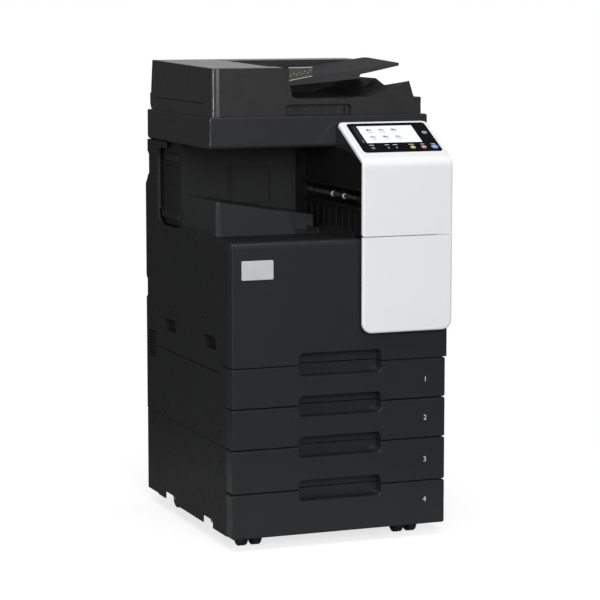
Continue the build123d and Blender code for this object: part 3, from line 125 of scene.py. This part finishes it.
def soft_edges(tree, radius):
    """Rounded normal at sharp edges, and a mask of where those edges are."""
    bevel = tree.nodes.new("ShaderNodeBevel")
    bevel.samples = 4
    bevel.inputs["Radius"].default_value = radius
    geometry = tree.nodes.new("ShaderNodeNewGeometry")
    dot = tree.nodes.new("ShaderNodeVectorMath")
    dot.operation = "DOT_PRODUCT"
    tree.links.new(bevel.outputs["Normal"], dot.inputs[0])
    tree.links.new(geometry.outputs["Normal"], dot.inputs[1])
    mask = remap(tree, dot.outputs["Value"], 1.0, 0.0, 0.90, 0.995)
    return bevel.outputs["Normal"], mask


def moulded(name, colour, rough=0.5, grain=0.12, grain_scale=1500.0, speckle=0.0, edge=1.35,
            coat=0.0, metallic=0.0, emission=0.0, specular=0.5, clouding=0.05,
            coat_rough=0.08):
    """Moulded plastic or painted sheet: fine grain, faint clouding, lighter edges that are partly rubbing
    wear and partly a painted highlight.
    """
    material, tree, shader = new_material(name)
    coords = tree.nodes.new("ShaderNodeTexCoord").outputs["Object"]
    clouds = remap(tree, noise(tree, coords, 7.0), 0.0, 1.0)
    handled = remap(tree, noise(tree, coords, 45.0, 5.0), 0.0, 1.0)
    fine = noise(tree, coords, grain_scale, 2.0, 0.6)
    base = mix_colour(tree, clouds, shade(colour, 1.0 - clouding), shade(colour, 1.0 + clouding))
    if speckle:
        spots = remap(tree, noise(tree, coords, 420.0, 2.0, 0.7), 0.0, speckle, 0.45, 0.62)
        base = mix_colour(tree, spots, base, shade(colour, 1.9))
    normal, edges = soft_edges(tree, 0.0009)
    # Lighter edges: a painted highlight along sharp edges, made patchy like rubbing wear where the handled
    # noise is high.
    wear_and_highlight = tree.nodes.new("ShaderNodeMath")
    wear_and_highlight.operation = "MULTIPLY"
    tree.links.new(edges, wear_and_highlight.inputs[0])
    tree.links.new(remap(tree, handled, 0.25, 0.85, 0.0, 1.0), wear_and_highlight.inputs[1])
    base = mix_colour(tree, wear_and_highlight.outputs[0], base, shade(colour, edge))
    tree.links.new(base, shader.inputs["Base Color"])
    tree.links.new(remap(tree, handled, rough - 0.05, rough + 0.06, 0.0, 1.0), shader.inputs["Roughness"])
    bump = tree.nodes.new("ShaderNodeBump")
    bump.inputs["Strength"].default_value = grain
    bump.inputs["Distance"].default_value = 0.0004
    tree.links.new(fine, bump.inputs["Height"])
    tree.links.new(normal, bump.inputs["Normal"])
    tree.links.new(bump.outputs["Normal"], shader.inputs["Normal"])
    shader.inputs["Metallic"].default_value = metallic
    shader.inputs["Specular IOR Level"].default_value = specular
    if coat:
        shader.inputs["Coat Weight"].default_value = coat
        shader.inputs["Coat Roughness"].default_value = coat_rough
    if emission:
        tree.links.new(base, shader.inputs["Emission Color"])
        shader.inputs["Emission Strength"].default_value = emission
    return material


def brushed(name, colour, rough=0.38, along="X", scale=900.0):
    """Rolled or brushed metal with streaks along one axis and dull patches."""
    material, tree, shader = new_material(name)
    coords = tree.nodes.new("ShaderNodeTexCoord").outputs["Object"]
    stretch = tree.nodes.new("ShaderNodeMapping")
    stretch.inputs["Scale"].default_value = tuple(0.03 if axis == along else 1.0 for axis in "XYZ")
    tree.links.new(coords, stretch.inputs["Vector"])
    streaks = noise(tree, stretch.outputs["Vector"], scale, 2.0)
    patches = remap(tree, noise(tree, coords, 30.0, 4.0), 0.0, 1.0)
    base = mix_colour(tree, patches, shade(colour, 0.88), shade(colour, 1.06))
    normal, edges = soft_edges(tree, 0.0006)
    # Lighter along sharp edges: a painted highlight.
    base = mix_colour(tree, edges, base, shade(colour, 1.25))
    tree.links.new(base, shader.inputs["Base Color"])
    tree.links.new(remap(tree, streaks, rough - 0.09, rough + 0.12), shader.inputs["Roughness"])
    bump = tree.nodes.new("ShaderNodeBump")
    bump.inputs["Strength"].default_value = 0.10
    bump.inputs["Distance"].default_value = 0.0002
    tree.links.new(streaks, bump.inputs["Height"])
    tree.links.new(normal, bump.inputs["Normal"])
    tree.links.new(bump.outputs["Normal"], shader.inputs["Normal"])
    shader.inputs["Metallic"].default_value = 1.0
    return material


def clear_glass(name, colour):
    """Float glass with faint wiping marks."""
    material, tree, shader = new_material(name)
    coords = tree.nodes.new("ShaderNodeTexCoord").outputs["Object"]
    smears = noise(tree, coords, 28.0, 5.0, 0.6)
    tree.links.new(remap(tree, smears, 0.01, 0.07), shader.inputs["Roughness"])
    tree.links.new(mix_colour(tree, smears, colour, shade(colour, 0.97)), shader.inputs["Base Color"])
    shader.inputs["Transmission Weight"].default_value = 1.0
    shader.inputs["IOR"].default_value = 1.5
    return material


def roller_material(name):
    """Dark ground rubber, with white rubber on the two large rollers and a blackened steel shaft."""
    material, tree, shader = new_material(name)
    coords = tree.nodes.new("ShaderNodeTexCoord").outputs["Object"]
    low, high = (Vector(p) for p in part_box("exit_rollers"))
    axis_x, axis_z = (low.x + high.x) / 2, (low.z + high.z) / 2
    split = tree.nodes.new("ShaderNodeSeparateXYZ")
    tree.links.new(coords, split.inputs["Vector"])

    def math_node(operation, first, second):
        node = tree.nodes.new("ShaderNodeMath")
        node.operation = operation
        for socket, value in zip(node.inputs, (first, second)):
            if isinstance(value, float):
                socket.default_value = value
            else:
                tree.links.new(value, socket)
        return node.outputs[0]

    across = math_node("SUBTRACT", split.outputs["X"], axis_x)
    over = math_node("SUBTRACT", split.outputs["Z"], axis_z)
    radius = math_node("SQRT", math_node("ADD", math_node("MULTIPLY", across, across),
                                         math_node("MULTIPLY", over, over)), 0.0)
    white = None
    for y in WHITE_ROLLER_Y:
        off = math_node("ABSOLUTE", math_node("SUBTRACT", split.outputs["Y"], FRONT_Y + y * MM), 0.0)
        near = math_node("LESS_THAN", off, WHITE_ROLLER_HALF_WIDTH)
        white = near if white is None else math_node("ADD", white, near)
    white = math_node("MULTIPLY", white, math_node("GREATER_THAN", radius, 0.0035))
    steel = math_node("LESS_THAN", radius, 0.0032)
    grain = noise(tree, coords, 700.0, 3.0)
    rubber = mix_colour(tree, grain, (0.012, 0.012, 0.013), (0.03, 0.03, 0.032))
    pale = mix_colour(tree, grain, (0.62, 0.62, 0.60), (0.78, 0.78, 0.76))
    base = mix_colour(tree, white, rubber, pale)
    base = mix_colour(tree, steel, base, (0.03, 0.03, 0.032))
    tree.links.new(base, shader.inputs["Base Color"])
    tree.links.new(remap(tree, grain, 0.55, 0.75), shader.inputs["Roughness"])
    bump = tree.nodes.new("ShaderNodeBump")
    bump.inputs["Strength"].default_value = 0.2
    bump.inputs["Distance"].default_value = 0.0003
    tree.links.new(grain, bump.inputs["Height"])
    tree.links.new(bump.outputs["Normal"], shader.inputs["Normal"])
    return material


CHARCOAL = (0.0182, 0.0190, 0.0204)
LOOKS = {
    "charcoal_front": moulded("charcoal_front", CHARCOAL, 0.48, 0.14, specular=0.16, clouding=0.03,
                              coat=0.35, coat_rough=0.15),
    "charcoal_side": moulded("charcoal_side", (0.0222, 0.0237, 0.0226), 0.54, 0.16, specular=0.06,
                             clouding=0.03, coat=0.08, coat_rough=0.25),
    "scanner_grey": moulded("scanner_grey", (0.0215, 0.0222, 0.0238), 0.42, 0.12, specular=0.20,
                            clouding=0.03, coat=0.5, coat_rough=0.15),
    "feeder_grey": moulded("feeder_grey", (0.0240, 0.0240, 0.0240), 0.36, 0.08, specular=0.32, clouding=0.02,
                           coat=0.5, coat_rough=0.15),
    "tray_grey": moulded("tray_grey", (0.034, 0.034, 0.036), 0.52, 0.22, 900.0, speckle=0.35, specular=0.2),
    "inner_black": moulded("inner_black", (0.010, 0.010, 0.011), 0.5, 0.10),
    "white_cover": moulded("white_cover", (0.84, 0.845, 0.86), 0.36, 0.05, edge=1.05, clouding=0.01),
    "badge_silver": moulded("badge_silver", (0.66, 0.67, 0.675), 0.34, 0.03, edge=1.2, metallic=0.25,
                            clouding=0.02),
    "black_pane": moulded("black_pane", (0.0025, 0.0025, 0.003), 0.12, 0.01, 300.0, edge=3.0, coat=0.3,
                          specular=0.3),
    "screen_white": moulded("screen_white", (0.80, 0.86, 0.90), 0.20, 0.01, 300.0, edge=1.0, coat=0.5,
                            emission=0.25),
    "platen_clear": clear_glass("platen_clear", (0.82, 0.90, 0.88)),
    "sheet_steel": brushed("sheet_steel", (0.55, 0.56, 0.57), 0.42, "Y"),
    "screw_steel": brushed("screw_steel", (0.035, 0.035, 0.036), 0.45, "Z"),
    "paper_box": moulded("paper_box", (0.016, 0.016, 0.018), 0.50, 0.14),
    "pad_white": moulded("pad_white", (0.84, 0.84, 0.82), 0.62, 0.30, 600.0, edge=1.0),
    "roller_rubber": roller_material("roller_rubber"),
    "wheel_tread": moulded("wheel_tread", (0.012, 0.012, 0.013), 0.62, 0.30, 700.0, edge=2.2),
    "fork_plastic": moulded("fork_plastic", (0.014, 0.014, 0.015), 0.48, 0.12, edge=1.8),
    "toner_plastic": moulded("toner_plastic", (0.022, 0.022, 0.024), 0.46, 0.12),
    "output_tray": moulded("output_charcoal", (0.0245, 0.0255, 0.0272), 0.46, 0.14, specular=0.12,
                           clouding=0.03, coat=0.4, coat_rough=0.15),
    # main_frame darkened well below its steel colour: painted shade, as the frame sits deep behind the exit
    # slot.
    "main_frame": brushed("frame_steel_painted_shade", (0.14, 0.14, 0.145), 0.46, "Y"),
    # inner_cover darker than the charcoal body: painted shade on the ledge under the scanner.
    "inner_cover": moulded("ledge_painted_shade", (0.0085, 0.0088, 0.0094), 0.5, 0.10, specular=0.12, clouding=0.02),
    # exit_cover darker than the side charcoal: painted shade deep in the output cavity.
    "exit_cover": moulded("exit_painted_shade", (0.0070, 0.0070, 0.0074), 0.5, 0.10, specular=0.12, clouding=0.02),
    "machine_inside": moulded("machine_inside", (0.035, 0.042, 0.050), 0.48, 0.12),
    "key_pale": moulded("key_pale", (0.035, 0.045, 0.075), 0.25, 0.02, 400.0, edge=1.1, coat=0.4,
                        emission=0.1),
    "key_yellow": moulded("key_yellow", (0.55, 0.42, 0.10), 0.25, 0.02, 400.0, edge=1.1, coat=0.4,
                          emission=0.08),
    "key_red": moulded("key_red", (0.48, 0.18, 0.21), 0.25, 0.02, 400.0, edge=1.1, coat=0.4, emission=0.12),
    "key_blue": moulded("key_blue", (0.18, 0.30, 0.56), 0.25, 0.02, 400.0, edge=1.1, coat=0.4, emission=0.12),
}
for entry in frame["record"]["subparts"]:
    node = frame["nodes"][entry["node"]]
    node.data.materials.clear()
    node.data.materials.append(LOOKS.get(entry["node"], LOOKS[entry["material_slot"]]))


# ---------------------------------------------------------------- flat shapes in local millimetres
def circle(u, v, radius, count=28, start=0.0):
    return [(u + radius * math.cos(start + 2 * math.pi * k / count),
             v + radius * math.sin(start + 2 * math.pi * k / count)) for k in range(count)]


def disc(u, v, radius, count=28):
    return [circle(u, v, radius, count)]


def ring(u, v, outer, inner, count=28):
    out, ins = circle(u, v, outer, count), circle(u, v, inner, count)
    return [[out[k], out[(k + 1) % count], ins[(k + 1) % count], ins[k]] for k in range(count)]


def bar(u, v, width, height, corner=0.0, turn=0.0):
    """Rectangle with optional round corners, turned about its middle."""
    w, h = width / 2, height / 2
    if corner:
        points = []
        for cu, cv, start in ((w - corner, h - corner, 0.0), (corner - w, h - corner, 90.0),
                              (corner - w, corner - h, 180.0), (w - corner, corner - h, 270.0)):
            for k in range(5):
                angle = math.radians(start + 22.5 * k)
                points.append((cu + corner * math.cos(angle), cv + corner * math.sin(angle)))
    else:
        points = [(w, h), (-w, h), (-w, -h), (w, -h)]
    c, s = math.cos(math.radians(turn)), math.sin(math.radians(turn))
    return [[(u + a * c - b * s, v + a * s + b * c) for a, b in points]]


def piece(name, shapes, plane, thick, look, body, bevel=0.12):
    """Thin raised piece made of flat outlines, with softened edges, riding on a body."""
    mesh = bpy.data.meshes.new(name)
    bm = bmesh.new()
    for outline in shapes:
        bm.faces.new([bm.verts.new((u * MM, v * MM, 0.0)) for u, v in outline])
    bmesh.ops.remove_doubles(bm, verts=bm.verts, dist=1e-7)
    bmesh.ops.recalc_face_normals(bm, faces=bm.faces)
    for face in bm.faces:
        if face.normal.z > 0:
            face.normal_flip()
    top = bmesh.ops.extrude_face_region(bm, geom=list(bm.faces))
    lifted = [item for item in top["geom"] if isinstance(item, bmesh.types.BMVert)]
    bmesh.ops.translate(bm, verts=lifted, vec=(0, 0, thick * MM))
    bmesh.ops.recalc_face_normals(bm, faces=bm.faces)
    bm.transform(plane)
    bm.to_mesh(mesh)
    bm.free()
    obj = bpy.data.objects.new(name, mesh)
    bpy.context.scene.collection.objects.link(obj)
    mesh.materials.append(MARKS[look])
    if bevel:
        modifier = obj.modifiers.new("soft_edge", "BEVEL")
        modifier.width = bevel * MM
        modifier.segments = 2
        modifier.limit_method = "ANGLE"
    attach(obj, body)
    return obj


def numeral(name, text, plane, height, look, body):
    """Printed numeral as a thin raised mesh."""
    curve = bpy.data.curves.new(name + "_text", "FONT")
    curve.body = text
    curve.size = height * MM * 1.38
    curve.extrude = 0.12 * MM
    curve.offset = 0.22 * MM
    curve.align_x = "CENTER"
    curve.align_y = "CENTER"
    source = bpy.data.objects.new(name + "_source", curve)
    bpy.context.scene.collection.objects.link(source)
    depsgraph = bpy.context.evaluated_depsgraph_get()
    mesh = bpy.data.meshes.new_from_object(source.evaluated_get(depsgraph))
    bpy.data.objects.remove(source)
    bpy.data.curves.remove(curve)
    mesh.transform(plane)
    mesh.materials.clear()
    mesh.materials.append(MARKS[look])
    mesh.name = name
    obj = bpy.data.objects.new(name, mesh)
    bpy.context.scene.collection.objects.link(obj)
    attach(obj, body)
    return obj


MARKS = {
    "print_grey": moulded("print_grey", (0.56, 0.56, 0.57), 0.55, 0.05, edge=1.0),
    "print_white": moulded("print_white", (0.70, 0.72, 0.74), 0.45, 0.04, edge=1.0),
    "glass_grey": moulded("glass_grey", (0.020, 0.021, 0.023), 0.22, 0.02, 400.0, edge=1.5, coat=0.7),
    "icon_tile": moulded("icon_tile", (0.60, 0.66, 0.70), 0.35, 0.03, 400.0, edge=1.0, emission=0.15),
    "icon_grey": moulded("icon_grey", (0.10, 0.11, 0.13), 0.35, 0.03, 400.0, edge=1.0, emission=0.02),
    "icon_blue": moulded("icon_blue", (0.22, 0.34, 0.52), 0.35, 0.03, 400.0, edge=1.0, emission=0.05),
    "label_olive": moulded("label_olive", (0.052, 0.054, 0.046), 0.42, 0.10, 700.0, speckle=0.35, edge=1.2),
    "label_dot": moulded("label_dot", (0.42, 0.40, 0.28), 0.42, 0.05, edge=1.0),
    "label_line": moulded("label_line", (0.62, 0.63, 0.60), 0.42, 0.05, edge=1.0),
    "toner_cyan": moulded("toner_cyan", (0.02, 0.30, 0.55), 0.40, 0.08),
    "toner_magenta": moulded("toner_magenta", (0.52, 0.03, 0.20), 0.40, 0.08),
    "toner_yellow": moulded("toner_yellow", (0.75, 0.58, 0.04), 0.40, 0.08),
    "toner_black": moulded("toner_black", (0.012, 0.012, 0.012), 0.40, 0.08),
    "tab_blue": moulded("tab_blue", (0.05, 0.20, 0.42), 0.42, 0.10),
}

# ---------------------------------------------------------------- tray numerals
NUMERAL_X = 210
NUMERAL_HEIGHT = 12.0
for number, z in ((1, 365.0), (2, 276.0), (3, 179.0), (4, 85.0)):
    plane = front_plane(NUMERAL_X, -0.05, z)
    numeral("tray_%d_numeral" % number, str(number), plane, NUMERAL_HEIGHT, "print_grey", "tray_%d" % number)

# ---------------------------------------------------------------- touch panel
GLASS_FACE = panel_plane(0, 0, 0.2)
SCREEN_FACE = panel_plane(0, 0, 0.1)
piece("panel_sidebar", bar(75, 97, 12.5, 73, 2.0), GLASS_FACE, 0.12, "glass_grey", "machine", 0.05)
tiles, captions, dark_marks, blue_marks = [], [], [], []
for row, slope in enumerate((116.0, 86.0)):
    for column, x in enumerate((106.0, 137.0, 168.0)):
        tiles += bar(x, slope, 15, 11, 1.5)
        captions += bar(x, slope - 10.5, 13, 1.3)
        marks = dark_marks if (row + column) % 2 == 0 else blue_marks
        marks += bar(x - 2.5, slope + 0.5, 5, 6.5, 0.8) + bar(x + 3.5, slope - 0.8, 4, 4, 0.6)
for name, shapes, thick, look in (("screen_tiles", tiles, 0.10, "icon_tile"),
                                  ("screen_captions", captions, 0.10, "icon_grey"),
                                  ("screen_dark_marks", dark_marks, 0.14, "icon_grey"),
                                  ("screen_blue_marks", blue_marks, 0.14, "icon_blue")):
    piece(name, shapes, SCREEN_FACE, thick, look, "machine", 0.0)
piece("screen_top_line", bar(150.5, 130.5, 132, 1.2), SCREEN_FACE, 0.10, "icon_tile", "machine", 0.0)
side_marks = ring(240, 101, 6.0, 4.6) + bar(240, 101, 1.4, 6.5) + bar(240, 101, 6.5, 1.4)
piece("panel_side_mark", side_marks, GLASS_FACE, 0.10, "print_white", "machine", 0.0)
dashes = []
for x, width in ((89, 12), (127, 11), (147, 12), (187, 14), (214, 10), (241, 11)):
    dashes += bar(x, 50.5, width, 2.0, 0.8)
for x in (127, 147):
    dashes += ring(x, 38.5, 2.4, 1.5, 18)
piece("panel_key_marks", dashes, GLASS_FACE, 0.10, "print_white", "machine", 0.0)
lamps = disc(75, 71, 1.0, 14) + disc(75, 65, 1.3, 14)
piece("panel_leds", lamps, GLASS_FACE, 0.15, "print_white", "machine", 0.0)
KEY_FACE = 0.8
KEY_MARKS = {
    "menu": (89, 38, bar(0, 2, 5, 0.8) + bar(0, 0, 5, 0.8) + bar(0, -2, 5, 0.8)),
    "reset": (187, 38.5, ring(0, 0, 2.9, 2.1, 20)),
    "stop": (214, 38.5, bar(0, 0, 3.6, 3.6, 0.4)),
    "start": (241, 38.5, [[(-2.2, -3.2), (3.6, 0.0), (-2.2, 3.2)]]),
}
for key, (x, slope, shapes) in KEY_MARKS.items():
    piece(key + "_key_mark", shapes, panel_plane(x, slope, KEY_FACE), 0.12, "print_white", key, 0.0)

# ---------------------------------------------------------------- label on the front document guide
guide_low = Vector(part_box("document_guide_front")[0])
GUIDE_FACE = front_plane(0, (guide_low.y - FRONT_Y) / MM, 0)
label = [[(-49.5, 1045.5), (8.5, 1055.0), (10.5, 1068.0), (7.5, 1071.5), (-49.5, 1071.0)]]
piece("guide_label", label, GUIDE_FACE, 0.12, "label_olive", "guide_front", 0.0)
lines = [[(-50, 1071.4), (8, 1072.0), (7.4, 1073.6), (-50, 1073.0)],
         [(-49.5, 1042.2), (8.5, 1052.2), (8.5, 1053.8), (-49.5, 1043.8)]]
piece("guide_label_lines", lines, GUIDE_FACE, 0.18, "label_line", "guide_front", 0.0)
dots = []
for k in range(8):
    dots += disc(-45 + 7 * k, 1054 + 1.1 * k + (4 if k % 2 else 0), 1.3, 14)
piece("guide_label_dots", dots, GUIDE_FACE, 0.18, "label_dot", "guide_front", 0.0)

# ---------------------------------------------------------------- behind the front door
for x, look in zip(TONER_RING_X, ("toner_yellow", "toner_magenta", "toner_cyan", "toner_black")):
    name = look + "_ring"
    piece(name, ring(x, 589.5, 23.0, 19.0, 40), front_plane(0, 40.0, 0), 0.35, look, "machine", 0.1)
piece("waste_box_tab", bar(-15, 486, 60, 9, 3), front_plane(0, 39.0, 0), 0.6, "tab_blue", "machine", 0.15)

# ---------------------------------------------------------------- size marks beside the glass
ticks = []
for k, x in enumerate(range(-160, 261, 15)):
    ticks += bar(x, 177, 0.6, 5 if k % 2 else 8)
arrow = [[(-190, 491), (-178, 491), (-190, 503)]]
piece("platen_marks", ticks + arrow, top_plane(0, 0, 964.0), 0.10, "print_white", "machine", 0.0)

# ---------------------------------------------------------------- stage, light and camera
FLOOR_RADIUS = 1.3
FLOOR_FADE = (0.55, 1.25)
FLOOR_GLOW = 0.73


def floor_material():
    """Pale studio floor that looks white to the camera and fades out into the white surroundings."""
    material, tree, shader = new_material("studio_white")
    coords = tree.nodes.new("ShaderNodeTexCoord").outputs["Object"]
    mottled = noise(tree, coords, 3.0, 3.0)
    tree.links.new(mix_colour(tree, mottled, (0.37, 0.37, 0.37), (0.39, 0.39, 0.39)),
                   shader.inputs["Base Color"])
    shader.inputs["Roughness"].default_value = 0.9
    shader.inputs["Specular IOR Level"].default_value = 0.05
    shader.inputs["Emission Color"].default_value = (1.0, 1.0, 1.0, 1.0)
    glow = tree.nodes.new("ShaderNodeMath")
    glow.operation = "MULTIPLY"
    glow.inputs[1].default_value = FLOOR_GLOW
    tree.links.new(tree.nodes.new("ShaderNodeLightPath").outputs["Is Camera Ray"], glow.inputs[0])
    tree.links.new(glow.outputs[0], shader.inputs["Emission Strength"])
    distance = tree.nodes.new("ShaderNodeVectorMath")
    distance.operation = "LENGTH"
    tree.links.new(coords, distance.inputs[0])
    fade = tree.nodes.new("ShaderNodeMapRange")
    fade.interpolation_type = "SMOOTHSTEP"
    fade.inputs["From Min"].default_value = FLOOR_FADE[0]
    fade.inputs["From Max"].default_value = FLOOR_FADE[1]
    tree.links.new(distance.outputs["Value"], fade.inputs["Value"])
    clear = tree.nodes.new("ShaderNodeBsdfTransparent")
    both = tree.nodes.new("ShaderNodeMixShader")
    tree.links.new(fade.outputs["Result"], both.inputs["Fac"])
    tree.links.new(shader.outputs["BSDF"], both.inputs[1])
    tree.links.new(clear.outputs["BSDF"], both.inputs[2])
    output = next(n for n in tree.nodes if n.type == "OUTPUT_MATERIAL")
    tree.links.new(both.outputs["Shader"], output.inputs["Surface"])
    return material


def studio_floor():
    mesh = bpy.data.meshes.new("studio_floor")
    bm = bmesh.new()
    bmesh.ops.create_circle(bm, cap_ends=True, segments=64, radius=FLOOR_RADIUS)
    bmesh.ops.translate(bm, verts=bm.verts, vec=(0, 0, -0.0002))
    bm.to_mesh(mesh)
    bm.free()
    obj = bpy.data.objects.new("studio_floor", mesh)
    bpy.context.scene.collection.objects.link(obj)
    mesh.materials.append(floor_material())
    return obj


studio_floor()


def area_light(name, place_at, target, width, height, power):
    data = bpy.data.lights.new(name, "AREA")
    data.shape = "RECTANGLE"
    data.size = width
    data.size_y = height
    data.energy = power
    obj = bpy.data.objects.new(name, data)
    bpy.context.scene.collection.objects.link(obj)
    obj.location = place_at
    direction = Vector(target) - Vector(place_at)
    obj.rotation_euler = direction.to_track_quat("-Z", "Y").to_euler()
    obj.visible_camera = False
    return obj


LIGHTS = (  # name, place, target, width and height in metres, power in watts
    ("key_softbox", (-1.1, -5.3, 2.1), (0, 0, 0.6), 3.0, 2.4, 204),
    ("top_softbox", (-0.6, -1.2, 6.5), (0, 0, 0), 4.5, 4.5, 235),
    ("edge_strip", (-4.6, -2.1, 1.3), (0, 0, 0.8), 0.16, 1.8, 70),
    ("back_panel", (1.9, 4.8, 1.5), (0, 0, 1.0), 3.6, 0.7, 5.5),
    ("rear_fill", (4.4, 3.0, 1.7), (0, 0, 0.6), 2.0, 2.0, 110),
)
for light in LIGHTS:
    area_light(*light)

AMBIENT = 0.07
world = bpy.data.worlds.new("studio")
bpy.context.scene.world = world
world.use_nodes = True
world_tree = world.node_tree
world_tree.nodes.clear()
world_out = world_tree.nodes.new("ShaderNodeOutputWorld")
seen = world_tree.nodes.new("ShaderNodeBackground")
seen.inputs["Color"].default_value = (1.0, 1.0, 1.0, 1.0)
around = world_tree.nodes.new("ShaderNodeBackground")
around.inputs["Color"].default_value = (1.0, 1.0, 1.0, 1.0)
around.inputs["Strength"].default_value = AMBIENT
light_path = world_tree.nodes.new("ShaderNodeLightPath")
either = world_tree.nodes.new("ShaderNodeMixShader")
world_tree.links.new(light_path.outputs["Is Camera Ray"], either.inputs["Fac"])
world_tree.links.new(around.outputs["Background"], either.inputs[1])
world_tree.links.new(seen.outputs["Background"], either.inputs[2])
world_tree.links.new(either.outputs["Shader"], world_out.inputs["Surface"])
bpy.context.scene.view_settings.view_transform = "Standard"

CAMERA_MM = (-2001.3, -4840.9, 1240.0)
CAMERA_DOWN = 7.42
CAMERA_RIGHT = 21.46
LENS = 141.06
camera_data = bpy.data.cameras.new("camera")
camera_data.sensor_width = 36.0
camera_data.lens = LENS
camera_data.clip_end = 60.0
camera = bpy.data.objects.new("camera", camera_data)
bpy.context.scene.collection.objects.link(camera)
camera.location = place(*CAMERA_MM)
camera.rotation_euler = (math.radians(90 - CAMERA_DOWN), 0.0, -math.radians(CAMERA_RIGHT))
bpy.context.scene.camera = camera
